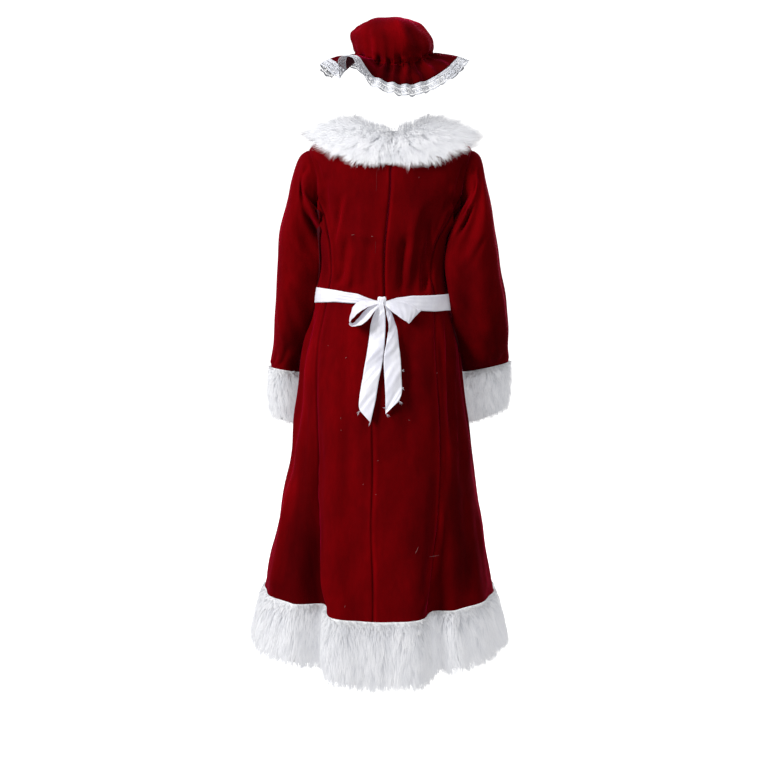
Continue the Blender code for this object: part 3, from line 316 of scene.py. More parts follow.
# The kinds of fur. Pile is how high a strand stands and run how far it reaches along the comb, in millimetres from
# the first row to the last. Sway, pull and curl are shares that let strands part from the comb, and pull draws
# them to the middle of their lock. Round is for a band that closes on itself, and no root is past the last share.
FUR_KINDS = {
    "collar": {
        "strands": 19500, "lock_size": 8.0, "sway": 0.28, "pull": (0.10, 0.55), "curl": 0.18, "lie": 1.3,
        "width": 0.86, "pile": (13, 18, 22, 22, 21, 19, 16, 12), "run": (-10, 4, 17, 24, 28, 31, 32, 32),
        "seed": 11, "round": False, "last": 1.0,
    },
    "cuff": {
        "strands": 8000, "lock_size": 9.0, "sway": 0.18, "pull": (0.05, 0.45), "curl": 0.10, "lie": 1.2,
        "width": 0.92, "pile": (8, 12, 14, 14, 14, 13, 11, 9), "run": (-4, 12, 24, 28, 28, 26, 19, 10),
        "seed": 21, "round": True, "last": 0.95,
    },
    "hem": {
        "strands": 26300, "lock_size": 12.0, "sway": 0.12, "pull": (0.0, 0.38), "curl": 0.08, "lie": 1.2,
        "width": 1.02, "pile": (7, 13, 17, 18, 18, 17, 15, 11), "run": (-3, 16, 36, 44, 46, 42, 33, 18),
        "seed": 31, "round": False, "last": 0.93,
    },
}

# Each strand has four steps along it, and each of its seven points lies at one of them.
STRAND_STEPS, STEP_WIDTHS = (0.0, 0.34, 0.68, 1.0), (1.0, 0.95, 0.66)
POINT_STEPS = (0, 0, 1, 1, 2, 2, 3)
QUICK_FUR, LOCK_BATCH = 0.3, 2000

# The sash's upper and lower edge near the knot, as shares of the ribbon's height, by angle round the body.
SASH_EDGES = {
    -180: (0, 1), -90: (0, 1), -60: (0, 0.86), -42: (0, 0.72), -20: (0.08, 0.66), -13: (0.24, 0.62),
    -6.5: (0.38, 0.58), 0: (0.41, 0.57), 9: (0.17, 0.68), 21: (0.05, 0.88), 31: (0.04, 0.95), 43: (0.03, 1),
    60: (0, 0.97), 90: (0, 1), 180: (0, 1),
}
TIGHT_KNOT, KNOT_SHIFT = (20.0, 11.0, 13.0), (-5.0, -1.0, 3.0)

# Each ribbon of the bow lies between two edges. Each place is x, z and how far it stands off the back.
BOW_EDGES = {
    "bow_loop_left": (
        (
            (-24, -406, 8), (-44, -403, 8), (-64, -403, 9), (-78, -409, 9), (-88, -424, 9), (-94, -447, 10),
            (-89, -454, 10), (-82, -452, 10), (-74, -443, 11), (-57, -423, 12), (-40, -412, 12), (-22, -408, 13),
        ),
        (
            (-24, -409, 15), (-42, -414, 25), (-57, -420, 34), (-71, -430, 40), (-83, -442, 43), (-91, -455, 43),
            (-86, -459, 43), (-78, -460, 43), (-61, -455, 40), (-48, -444, 34), (-38, -430, 26), (-22, -412, 17),
        ),
    ),
    "bow_loop_right": (
        (
            (-17, -404, 8), (8, -404, 6), (33, -405, 6), (55, -415, 7), (69, -425, 8), (66, -427, 14),
            (55, -419, 18), (37, -409, 19), (16, -403, 18), (-1, -403, 15), (-17, -405, 12),
        ),
        (
            (-17, -411, 8), (-1, -424, 9), (16, -436, 10), (32, -446, 11), (41, -453, 12), (42, -453, 17),
            (38, -450, 21), (27, -444, 23), (10, -431, 22), (-4, -420, 19), (-17, -409, 13),
        ),
    ),
    "bow_tail_left": (
        (
            (-25, -403, 17), (-29, -414, 19), (-35, -428, 14), (-40, -440, 11), (-44, -457, 9), (-47, -480, 8),
            (-50, -502, 7), (-54, -528, 7), (-58, -551, 6), (-62, -574, 7), (-66, -596, 7), (-69, -618, 7),
            (-70, -640, 8), (-67, -649, 9),
        ),
        (
            (-18, -403, 17), (-15, -414, 20), (-12, -428, 17), (-11, -440, 14), (-11, -463, 12), (-12, -483, 10),
            (-13, -502, 9), (-15, -520, 9), (-17, -535, 8), (-21, -558, 9), (-26, -582, 9), (-30, -606, 9),
            (-34, -629, 10), (-44, -674, 9),
        ),
    ),
    "bow_tail_right": (
        (
            (-16, -408, 13), (-11, -421, 16), (-8, -436, 18), (-5, -449, 20), (-4, -463, 20), (-5, -477, 18),
            (-9, -498, 14), (-13, -518, 10), (-15, -537, 8), (-14, -566, 7), (-12, -596, 7), (-11, -622, 7),
            (-11, -646, 8), (-11, -655, 9),
        ),
        (
            (-12, -407, 12), (-4, -421, 11), (3, -432, 9), (8, -443, 8), (12, -456, 8), (15, -469, 8),
            (18, -491, 8), (21, -514, 8), (23, -534, 8), (24, -554, 9), (25, -575, 9), (26, -596, 8),
            (25, -610, 9), (19, -627, 10),
        ),
    ),
}
BOW_COLUMNS, RIBBON_ROWS = {"loop": 76, "tail": 90}, 15
# Where a tail is folded over slantwise: the share of its length, the slant and the height of the fold.
TAIL_TWIST = {"bow_tail_right": (0.47, -0.13, 1.6), "bow_tail_left": (0.30, 0.05, 0.8)}

# Bits of lint on the velvet (x, z, length, lean) and the bow's frayed corners (x, z, stand-off, lean).
LINT = (
    (59, -957, 16, 1.1), (98, -976, 24, -0.1), (-28, -759, 4, 0.3), (-208, -1057, 5, 0.2), (-101, -1077, 5, 1.2),
    (-111, -666, 5, 1.4), (-111, -693, 4, 1.0), (-55, -493, 6, 0.4), (-50, -500, 5, 1.2), (-84, -255, 7, 0.1),
    (-41, -258, 5, -0.1), (64, -126, 4, 0.5), (-141, -505, 4, 0.8), (-100, -532, 5, 0.3), (106, -566, 4, 0.2),
    (-61, -811, 4, 0.6), (42, -670, 4, -0.4), (-32, -833, 4, 0.2),
)
LINT_RADIUS, STRAY_RADIUS, THREAD_SEED = 0.3, 0.22, 71
FRAYED_ENDS = (
    (-68, -649, 9, -2.6), (-45, -673, 9, -1.7), (-10, -642, 9, 2.9), (-8, -655, 9, -1.1), (26, -560, 9, 0.4),
    (26, -598, 9, 0.2), (20, -627, 10, -0.7),
)

# Puckers at the cap's elastic: angle, depth and length above it, depth and reach below it, and half width.
PUCKERS = (
    (310, -5, 26, -3, 22, 3.2), (323, -3, 18, -2.5, 30, 2.4), (331, 2.5, 24, 2.0, 30, 2.6),
    (338, -7.5, 34, -4.5, 40, 3.2), (344, -4, 22, -3, 26, 2.2), (348, 2.5, 22, 2.5, 36, 2.2),
    (353, -5, 26, -3, 44, 2.4), (358, -4.5, 20, -4.5, 46, 2.2), (3, 2.5, 22, 3, 40, 2.2),
    (8.5, -7.5, 36, -6, 52, 3.4), (14, -3.5, 18, -3, 30, 2.0), (19, 3, 26, 3, 50, 2.6),
    (25, -4, 20, -5, 46, 2.6), (30, -5, 32, -3, 36, 2.6), (36, -3, 16, -6, 50, 3.0),
    (42, 2.5, 18, 3, 46, 2.6), (46, -5, 30, -4, 40, 2.6), (54, -4, 20, -3, 30, 2.4),
    (63, -5, 26, -4, 38, 3.0), (70, 2.5, 20, 3, 34, 2.6), (78, -4, 18, -5, 44, 3.0), (87, -6, 30, -3, 30, 3.0),
    (95, 3, 22, 3.5, 40, 3.0), (103, -4, 20, -5, 42, 3.0), (112, -5, 28, -3, 28, 2.6), (121, -3, 16, -5, 46, 3.2),
    (130, 3, 24, 3, 36, 3.0), (139, -6, 32, -4, 36, 3.0), (149, -4, 18, -5, 44, 3.0), (158, 2.5, 20, 3, 38, 2.6),
    (167, -5, 26, -4, 32, 3.0), (176, -4, 20, -5, 46, 3.0), (186, 3, 24, 3, 34, 3.0), (195, -6, 30, -4, 40, 3.0),
    (205, -3, 16, -5, 44, 3.0), (214, -5, 26, -3, 30, 2.8), (223, 2.5, 20, 3, 42, 3.0), (232, -4, 20, -5, 38, 3.0),
    (241, -6, 30, -4, 34, 3.0), (251, -4, 18, -5, 46, 3.0), (260, 3, 22, 3, 36, 3.0), (269, -5, 28, -4, 40, 3.0),
    (279, -4, 20, -5, 42, 3.0), (289, -5.5, 26, -4, 34, 2.8), (299, 2.5, 20, 3, 30, 2.6), (304, -3, 14, -2, 20, 2.4),
)
# Soft folds in the crown, laid out as the body's creases are, in rows of CAP_SECTIONS.
CROWN_FOLDS = (
    (0.3, 3.0, 300, 286, 17, -11.0), (1.6, 4.2, 280, 277, 10, 4.0), (2.4, 5.7, 326, 323, 7, -4.0),
    (2.6, 5.4, 334, 331, 6, 2.5), (1.4, 4.6, 12, 22, 11, 2.8), (2.4, 5.3, 30, 34, 8, -3.5),
    (3.0, 5.5, 48, 44, 7, -3.0), (0.8, 3.4, 50, 64, 14, -3.5), (1.4, 4.4, 74, 80, 11, 3.0),
    (1.5, 4.5, 100, 104, 13, -4.0), (2.0, 5.2, 128, 126, 9, -3.5), (1.0, 4.2, 150, 152, 13, 3.0),
    (2.2, 5.4, 176, 178, 8, -4.0), (1.8, 4.8, 204, 202, 10, -3.0), (2.4, 5.5, 232, 230, 8, -3.5),
    (1.2, 4.2, 250, 248, 13, 3.5), (0.6, 3.0, 350, 344, 18, -2.5),
)
# The cap's columns round it, and about how long one row of CAP_SECTIONS is down the crown.
CAP_COLUMNS_ROUND, CROWN_ROW_LENGTH = 330, 24.0
# The lace: its columns round the cap and rows across, then its scallops and the pitch of scallops and net.
LACE_STEPS, LACE_ROWS = 700, 30
SCALLOPS, SCALLOP_PITCH, NET_PITCH = 46, 22.0, 4.0

# The studio, in metres: the floor's level, its reach to each side and up, where it starts to curve, and the radius.
FLOOR_Z, FLOOR_REACH, FLOOR_END, FLOOR_CURVE = -1.468, 9.0, 3.0, 1.5
CAMERA_PLACE, CAMERA_TILT, CAMERA_LENS, CAMERA_SENSOR = (-0.01425, -2.6, -0.418), 4.0, 51.31, 36.0
# The room's light on the dress, and the backdrop's own glow.
ROOM_LIGHT, PAPER_GLOW = 0.24, 0.74
# Each lamp's place, width, height and power. All face the middle of the dress.
LAMPS = {
    "key_left":   (-2.8, -1.9, 1.1, 1.0, 1.5, 175.0),
    "fill_right": (2.4, -2.2, 0.2, 1.6, 2.2, 15.0),
    "top":        (0.0, -0.6, 2.2, 2.4, 1.6, 40.0),
    "front":      (1.2, 2.8, 0.7, 2.0, 2.0, 70.0),
}
LIT_PLACE = (0.0, 0.0, -0.55)

# The woven finishes: two tones that run into each other by the cloth's clouds or flecks, the sizes of these, the
# fineness and slant of the threads, and the strength and depth of their relief.
WOVEN_FINISHES = {
    # The back of the velvet: a dark red woven back, painted darker still so that it reads as shade where it shows, in
    # the slots beside the sleeves and under the brim.
    "velvet_woven_back": {
        "rough": 0.9, "shine": {"Specular_IOR_Level": 0.1}, "by": "Cloud", "sizes": (12.0, 160.0),
        "dark": (0.030, 0.0009, 0.003), "light": (0.052, 0.0018, 0.006), "threads": (420.0, 0.0),
        "relief": (0.4, 0.0006),
    },
    "fur_backing": {
        "rough": 0.85, "shine": {}, "by": "Fleck", "sizes": (20.0, 300.0), "dark": (0.70, 0.70, 0.72),
        "light": (0.84, 0.84, 0.85), "threads": (350.0, 0.3), "relief": (0.3, 0.0006),
    },
}
# The twisted threads differ only in colour.
THREAD_COLOURS = {
    "white_lace_thread": ((0.42, 0.44, 0.50), (0.68, 0.69, 0.73)),
    "deep_red_stitching": ((0.050, 0.0004, 0.0010), (0.090, 0.0008, 0.0020)),
    "pale_lint": ((0.20, 0.07, 0.07), (0.34, 0.17, 0.15)),
}


def columns_of(names, table):
    """The table's columns by name, each an array with one value for each row."""
    rows = np.array(list(table.values()), float)
    return {name: rows[:, i] for i, name in enumerate(names)}


def smooth_read(values, at):
    """A smooth curve through values at 0, 1, 2 and so on, read at any place between them."""
    values, at = np.asarray(values, float), np.asarray(at, float)
    last = len(values) - 1
    at = np.clip(at, 0, last)
    i = np.minimum(at.astype(int), last - 1)
    t = (at - i).reshape(at.shape + (1,) * (values.ndim - 1))
    before, here = values[np.maximum(i - 1, 0)], values[i]
    there, after = values[i + 1], values[np.minimum(i + 2, last)]
    return 0.5 * (
        2 * here
        + (there - before) * t
        + (2 * before - 5 * here + 4 * there - after) * t**2
        + (3 * here - before - 3 * there + after) * t**3
    )


def table_read(table, at):
    """A table of places and values, read in straight lines between its places."""
    return np.interp(at, list(table), list(table.values()))


def smooth_step(t):
    """Rises smoothly from 0 to 1 as t does."""
    t = np.clip(t, 0, 1)
    return t * t * (3 - 2 * t)


def bump_at(away, half_width):
    """A soft bump, 1 in the middle and nearly 0 at twice its half width."""
    return np.exp(-((away / half_width) ** 2))


def turn_from(angle, middle):
    """The shorter way round from one angle to another, in degrees."""
    return (angle - middle + 180.0) % 360.0 - 180.0


def signed_power(base, exponent):
    """A power that keeps the sign of its base."""
    return np.sign(base) * np.abs(base) ** exponent


def unit(vectors):
    """The same directions, each one unit long."""
    return vectors / np.maximum(np.linalg.norm(vectors, axis=-1, keepdims=True), 1e-9)


BODY = columns_of(SECTION_COLUMNS, SECTIONS)
FOLD = columns_of(FOLD_COLUMNS, FOLDS)
CREASE = columns_of(CREASE_COLUMNS, SLEEVE_CREASES)
CAP = columns_of(CAP_COLUMNS, CAP_SECTIONS)


def fold_depth(angle, row):
    """How far the cloth stands out of (or into) the smooth form, all folds together."""
    total = np.zeros(np.broadcast(angle, row).shape)
    for i in range(len(FOLDS)):
        top, bottom = FOLD["top_row"][i], FOLD["bottom_row"][i]
        along = (row - top) / (bottom - top)
        middle = FOLD["top_angle"][i] + (FOLD["bottom_angle"][i] - FOLD["top_angle"][i]) * along
        across = np.cos(np.clip(turn_from(angle, middle) / FOLD["half_width"][i], -1, 1) * math.pi / 2) ** 2
        grown = smooth_step((row - top) / (FOLD["full_row"][i] - top))
        ended = smooth_step((bottom - row) / max(0.15 * (bottom - top), 0.4))
        total += FOLD["depth"][i] * across * grown * ended
    return total


def dress_point(angle, row, folded=True):
    """The dress's outer surface at an angle round the body and a row of the SECTIONS table."""
    angle, row = np.broadcast_arrays(np.asarray(angle, float), np.asarray(row, float))
    part = {name: smooth_read(values, row) for name, values in BODY.items()}
    sine, cosine = np.sin(np.radians(angle)), np.cos(np.radians(angle))
    exponent = 2.0 / part["squareness"]
    depth = np.where(cosine > 0, part["back"], part["front"])
    end_z = np.where(cosine > 0, part["back_z"], part["front_z"])
    x = part["centre_x"] + part["half_width"] * signed_power(sine, exponent)
    y = -depth * signed_power(cosine, exponent)
    z = part["side_z"] + (end_z - part["side_z"]) * np.abs(cosine) ** part["bend"]
    z -= part["right_drop"] * (sine + 1) / 2
    points = np.stack([x, y, z], axis=-1)
    if folded:
        points = points + dress_outward(angle, row) * fold_depth(angle, row)[..., None]
    return points


def dress_outward(angle, row):
    """The level direction straight out of the smooth form, without its folds."""
    step = 0.5
    along = dress_point(angle + step, row, False) - dress_point(angle - step, row, False)
    out = np.stack([along[..., 1], -along[..., 0], np.zeros(along.shape[:-1])], axis=-1)
    return unit(out)


def dress_normal(angle, row):
    """The direction straight out of the cloth, folds included."""
    turn, drop = 2.0, 0.1
    around = dress_point(angle + turn, row) - dress_point(angle - turn, row)
    low, high = np.minimum(row + drop, HEM), np.maximum(row - drop, 0)
    down = dress_point(angle, low) - dress_point(angle, high)
    return unit(np.cross(down, around))


def armhole_edge(row, width):
    """Half the angle that the armhole takes up at a row."""
    height = (UNDERARM - SHOULDER_TIP) / 2
    return width * np.sqrt(np.clip(1 - ((row - ARMHOLE_MIDDLE) / height) ** 2, 0, 1))


def princess_angle(row, column, armhole_width):
    """How far a princess seam lies from the centre seam: along the armhole above its start, then down the body."""
    start = 90 - armhole_edge(PRINCESS_TOP, armhole_width)
    if row >= UNDERARM:
        return float(smooth_read(BODY[column], row))
    share = (row - PRINCESS_TOP) / (UNDERARM - PRINCESS_TOP)
    return start + (BODY[column][int(UNDERARM)] - start) * share


def panel_edge(row, column, armhole_width):
    """The outer edge of a centre panel: shoulder seam, armhole, then princess seam."""
    if row <= SHOULDER_TIP:
        return 90.0
    if row <= PRINCESS_TOP:
        return 90.0 - armhole_edge(row, armhole_width)
    return princess_angle(row, column, armhole_width)


def centre_back(row):
    """The angle of the centre back seam, which wanders a little down the skirt."""
    return float(smooth_read(BODY["centre_seam"], row))


def side_seam(row, armhole_width):
    """How far the side seam lies from the centre seam: beside the armhole, then straight at the side."""
    return 90.0 - (armhole_edge(row, armhole_width) if row < UNDERARM else 0.0)


# Each panel: its columns, the row where it starts, and its two edges at a row, in their order round the body.
PANELS = {
    "back_right": (
        24, 0.0, centre_back, lambda r: panel_edge(r, "seam_right", ARMHOLE_BACK),
    ),
    "side_back_right": (
        19, PRINCESS_TOP, lambda r: princess_angle(r, "seam_right", ARMHOLE_BACK),
        lambda r: side_seam(r, ARMHOLE_BACK),
    ),
    "side_front_right": (
        14, PRINCESS_TOP, lambda r: 180 - side_seam(r, ARMHOLE_FRONT),
        lambda r: 180 - princess_angle(r, "seam_front", ARMHOLE_FRONT),
    ),
    "front": (
        44, 0.0, lambda r: 180 - panel_edge(r, "seam_front", ARMHOLE_FRONT),
        lambda r: 180 + panel_edge(r, "seam_front", ARMHOLE_FRONT),
    ),
    "side_front_left": (
        14, PRINCESS_TOP, lambda r: 180 + princess_angle(r, "seam_front", ARMHOLE_FRONT),
        lambda r: 180 + side_seam(r, ARMHOLE_FRONT),
    ),
    "side_back_left": (
        20, PRINCESS_TOP, lambda r: 360 - side_seam(r, ARMHOLE_BACK),
        lambda r: 360 - princess_angle(r, "seam_left", ARMHOLE_BACK),
    ),
    "back_left": (
        24, 0.0, lambda r: 360 - panel_edge(r, "seam_left", ARMHOLE_BACK),
        lambda r: 360 + centre_back(r),
    ),
}


def armhole_ring(side, ring_angle):
    """The point of the body's armhole that a sleeve's ring angle meets."""
    turn = np.radians(ring_angle)
    row = ARMHOLE_MIDDLE - np.cos(turn)
    back = np.sin(turn) >= 0
    width = np.where(back, ARMHOLE_BACK, ARMHOLE_FRONT)
    away = width * np.abs(np.sin(turn))
    angle = np.where(back, 90 - away, 90 + away)
    return dress_point(angle if side == "right" else 360 - angle, row)


def sleeve_rings(side, ring_angles_deg):
    """The sleeve's rings of points: the armhole first, then the rows of its table."""
    turn = np.radians(ring_angles_deg)
    table = columns_of(SLEEVE_COLUMNS, SLEEVES[side])
    sign = SIDE_SIGN[side]
    outer = np.stack([sign * table["outer_x"], table["centre_y"], table["outer_z"]], axis=-1)
    inner = np.stack([sign * table["inner_x"], table["centre_y"], table["inner_z"]], axis=-1)
    middle, reach = (outer + inner) / 2, (outer - inner) / 2
    rings = middle[:, None] + reach[:, None] * np.cos(turn)[None, :, None]
    rings[..., 1] -= table["half_depth"][:, None] * np.sin(turn)[None]
    return np.concatenate([armhole_ring(side, ring_angles_deg)[None], rings]), middle


def sleeve_points(side, ring_angles_deg, rows):
    """Points on the sleeve's outer surface, and the directions out of its axis."""
    rings, middles = sleeve_rings(side, ring_angles_deg)
    middles = np.concatenate([rings[:1].mean(axis=1), middles])
    rows = np.asarray(rows, float)
    points, middle = smooth_read(rings, rows), smooth_read(middles, rows)
    out = points - middle[:, None]
    along = unit(np.gradient(middle, axis=0))[:, None]
    out = unit(out - along * (out * along).sum(axis=-1, keepdims=True))
    return points + out * crease_depth(ring_angles_deg, rows)[..., None], out


def crease_depth(ring_angles_deg, rows):
    """How far a sleeve's largest creases stand out of its smooth form."""
    angle, row = np.meshgrid(ring_angles_deg, rows)
    total = np.zeros(angle.shape)
    for i in range(len(SLEEVE_CREASES)):
        top, bottom = CREASE["top_ring"][i], CREASE["bottom_ring"][i]
        along = (row - top) / (bottom - top)
        middle = CREASE["top_angle"][i] + (CREASE["bottom_angle"][i] - CREASE["top_angle"][i]) * along
        across = np.cos(np.clip(turn_from(angle, middle) / CREASE["half_width"][i], -1, 1) * math.pi / 2) ** 2
        total += CREASE["depth"][i] * across * np.sin(np.clip(along, 0, 1) * math.pi)
    return total


def back_place(x, z):
    """The angle and row of the dress's back at a place seen from behind."""
    level = BODY["back_z"] - BODY["right_drop"] / 2
    row = np.interp(-z, -level, np.arange(len(level)))
    half, middle = smooth_read(BODY["half_width"], row), smooth_read(BODY["centre_x"], row)
    square = smooth_read(BODY["squareness"], row)
    sine = signed_power(np.clip((x - middle) / half, -1, 1), square / 2)
    return np.degrees(np.arcsin(sine)), row


def knot_middle():
    """The knot's centre, clear of the sash that it lies on."""
    angle, row = back_place(np.array(KNOT_PLACE[0]), np.array(KNOT_PLACE[1]))
    surface = dress_point(angle, row)
    return surface + np.array([0.0, -(LAY_GAP + SATIN + KNOT_GAP + KNOT_SIZE[1] / 2), 0.0])


def droop_at(angle):
    """The brim's droop at an angle round the cap, read smoothly from its table."""
    places = np.array([-20.0, *BRIM_DROOP, 360.0, 380.0])
    values = np.array([BRIM_DROOP[340], *BRIM_DROOP.values(), BRIM_DROOP[0], BRIM_DROOP[20]], float)
    wrapped = np.asarray(angle, float) % 360.0
    return np.radians(smooth_read(values, np.interp(wrapped, places, np.arange(len(places)))))


def gather_wave(angle):
    """The little gathers round the elastic, a little uneven from one to the next."""
    turn = np.radians(angle)
    return np.cos(GATHERS * turn + 0.8 * np.sin(3 * turn) + 0.5 * np.sin(5 * turn + 1.0))


def cap_ring(angle, row):
    """The crown's outer surface at an angle round the cap and a row of CAP_SECTIONS."""
    part = {name: smooth_read(values, row) for name, values in CAP.items()}
    sine, cosine = np.sin(np.radians(angle)), np.cos(np.radians(angle))
    swell = 1 + part["gather"] * gather_wave(angle) / 100.0
    x = CAP_CENTRE_X + part["shift_x"] + part["half_width"] * swell * sine
    y = CAP_CENTRE_Y - part["half_depth"] * swell * cosine
    end_z = np.where(cosine > 0, part["back_z"], part["front_z"])
    z = part["side_z"] + (end_z - part["side_z"]) * np.abs(cosine) ** 1.5
    return np.stack([x, y, z], axis=-1)


def brim_point(angle, reach):
    """The brim and lace, reach millimetres along the cloth from the elastic."""
    start = cap_ring(angle, np.full_like(np.asarray(angle, float), ELASTIC))
    turn = np.radians(angle)
    out = np.stack([np.sin(turn), -np.cos(turn), np.zeros_like(turn)], axis=-1)
    down = np.array([0.0, 0.0, -1.0])
    droop = droop_at(angle)[..., None]
    curl = 0.25 * (1 - np.asarray(reach)[..., None] / (BRIM_WIDTH + LACE_WIDTH))
    hang = droop - curl
    along, across = out * np.cos(hang) + down * np.sin(hang), out * np.sin(hang) - down * np.cos(hang)
    size = np.interp(reach, (0, BRIM_WIDTH, BRIM_WIDTH + LACE_WIDTH), (0, BRIM_RUFFLE, LACE_RUFFLE))
    wave = (size * gather_wave(angle))[..., None]
    return start + along * np.asarray(reach)[..., None] + across * wave


def soft_depth(creases, angle, row):
    """How far a table of soft creases moves the cloth. Troughs are negative and ridges positive. A table of painted
    light is read the same way, as painted shade above zero and painted highlight below.
    """
    total = np.zeros(np.broadcast(angle, row).shape)
    for top_row, bottom_row, top_angle, bottom_angle, half_width, depth in creases:
        share = (row - top_row) / (bottom_row - top_row)
        middle = top_angle + (bottom_angle - top_angle) * np.clip(share, -0.2, 1.2)
        fade = smooth_step(share / 0.22) * smooth_step((1 - share) / 0.30)
        total = total + depth * fade * bump_at(turn_from(angle, middle), half_width)
    return total


def laid_grid(grid, wrap=False, flip=False):
    """The faces of a grid of points, facing out of the garment."""
    rows, columns = grid.shape[:2]
    here = np.arange(rows * columns).reshape(rows, columns)
    beside = np.roll(here, -1, axis=1) if wrap else here[:, 1:]
    here = here if wrap else here[:, :-1]
    faces = np.stack([here[:-1], here[1:], beside[1:], beside[:-1]], axis=-1).reshape(-1, 4)
    return faces[:, ::-1] if flip else faces


def make_piece(name, points, faces, materials):
    """A mesh from points in millimetres."""
    mesh = bpy.data.meshes.new(name)
    faces = faces.tolist() if isinstance(faces, np.ndarray) else faces
    mesh.from_pydata((np.asarray(points, float).reshape(-1, 3) * MM).tolist(), [], faces)
    for material in materials:
        mesh.materials.append(material)
    mesh.shade_smooth()
    piece = bpy.data.objects.new(name, mesh)
    bpy.context.scene.collection.objects.link(piece)
    return piece


def sew_in(piece, stands_for=()):
    """Every piece rides on the one body, and the solids that it stands for are hidden."""
    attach(piece, "root")
    if stands_for:
        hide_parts(*stands_for)


def thicken_cloth(piece, thickness, lining=False):
    """Gives a sheet its thickness on the inner side, with the woven back of the cloth inside when it is lined."""
    shell = piece.modifiers.new("cloth_thickness", "SOLIDIFY")
    shell.thickness = thickness * MM
    shell.offset = -1.0
    shell.use_even_offset = False
    if lining:
        shell.material_offset = 1


def edge_shares(width, count):
    """Columns across a panel: a few close to each seam, and the rest spread evenly."""
    near = np.minimum(np.array(SEAM_COLUMNS) / max(width, 0.1), np.array([1.0, 2.0, 3.0]) / (count + 6))
    middle = np.linspace(near[-1], 1 - near[-1], count)
    return np.concatenate([[0], near[:-1], middle, 1 - near[-2::-1], [1]])


def seam_dip(distance, depth=1.0, roll=1.0):
    """How far the cloth turns in at a seam, at a distance from it."""
    sunk = bump_at(distance, SEAM_ROLL * roll)
    turned_edge = 0.25 * bump_at(distance - 7.5, 3.0)
    return SEAM_DEPTH * depth * (sunk - turned_edge)


def along_from_edge(grid, axis):
    """The distance along the cloth from the grid's first row or column."""
    step = np.linalg.norm(np.diff(grid, axis=axis), axis=-1)
    start = np.zeros_like(np.take(step, [0], axis=axis))
    return np.concatenate([start, np.cumsum(step, axis=axis)], axis=axis)


def armhole_turns(above=24, below=15):
    """Turns round the armhole that include the points where the side panels begin."""
    start = math.degrees(math.acos(ARMHOLE_MIDDLE - PRINCESS_TOP))
    return np.unique(np.round(np.concatenate([np.linspace(0, start, above), np.linspace(start, 180, below)]), 6))


def body_rows(last):
    """The rows of points down a panel, with those that the armhole's seam needs."""
    rows = np.concatenate([
        np.arange(0, SHOULDER_TIP - 0.05, BODY_STEP), ARMHOLE_MIDDLE - np.cos(np.radians(armhole_turns())),
        np.arange(UNDERARM + BODY_STEP, SASH_BOTTOM, BODY_STEP), np.arange(SASH_BOTTOM, last, SKIRT_STEP), [last],
    ])
    return np.unique(np.round(rows, 6))


def body_grid(angles, rows):
    """The whole grid of angles and rows, with the dress's surface and the way out of it at each place."""
    row_grid = np.repeat(rows[:, None], angles.shape[-1], axis=1)
    angles = np.broadcast_to(angles, row_grid.shape)
    return angles, row_grid, dress_point(angles, row_grid), dress_normal(angles, row_grid)


def small_ripples(points):
    """The slight unevenness of worn cloth."""
    x, y, z = points[..., 0], points[..., 1], points[..., 2]
    broad = 2.6 * np.sin(x / 31 + z / 83 + 1.3) * np.sin(z / 47 - y / 39)
    fine = 1.4 * np.sin(x / 17 - z / 61 + y / 23) * np.cos(z / 29 + 0.7)
    return broad + fine


def waist_gathers(angle, row):
    """Little upright folds where the sash draws the cloth in, soon gone above and below it."""
    turn = np.radians(angle)
    above = np.exp(-np.maximum(SASH_TOP + 0.1 - row, 0) / 0.55)
    below = np.exp(-np.maximum(row - SASH_BOTTOM + 0.1, 0) / 0.35)
    folds = np.sin(23 * turn + 2.1 * np.sin(3 * turn)) + 0.6 * np.sin(41 * turn + 1.7 * np.sin(5 * turn + 1))
    drawn = np.where(row < SASH_TOP, above, np.where(row > SASH_BOTTOM, below, 0.25))
    return drawn * (1.1 * folds - 1.2)


def panel_angles(rows, count, start, end):
    """A panel's columns at each row, closest together beside its seams."""
    even = np.linspace(0, 1, WIDTH_SAMPLES)
    lines = []
    for row in rows:
        a, b = start(row), end(row)
        rough = dress_point(a + (b - a) * even, np.full(WIDTH_SAMPLES, row))
        width = np.linalg.norm(np.diff(rough, axis=0), axis=-1).sum()
        lines.append(a + (b - a) * edge_shares(width, count))
    return np.array(lines)


def placket_height(from_seam, row):
    """The overlap beside the centre back seam: raised as far as its edge, with a groove along that."""
    above = smooth_step((SASH_TOP + 0.4 - row) / 0.4)
    raised = 1.3 * smooth_step(from_seam / 3.0) * smooth_step((PLACKET_WIDTH - from_seam) / 2.0)
    return above * (raised - PLACKET_DEPTH * bump_at(from_seam - PLACKET_WIDTH, 1.5))


def seam_shade(distance):
    """Painted shade in the dip of a seam, and a painted highlight on the roll beside it."""
    return 0.30 * bump_at(distance, 2.2) - 0.22 * bump_at(distance - 5.0, 2.0)


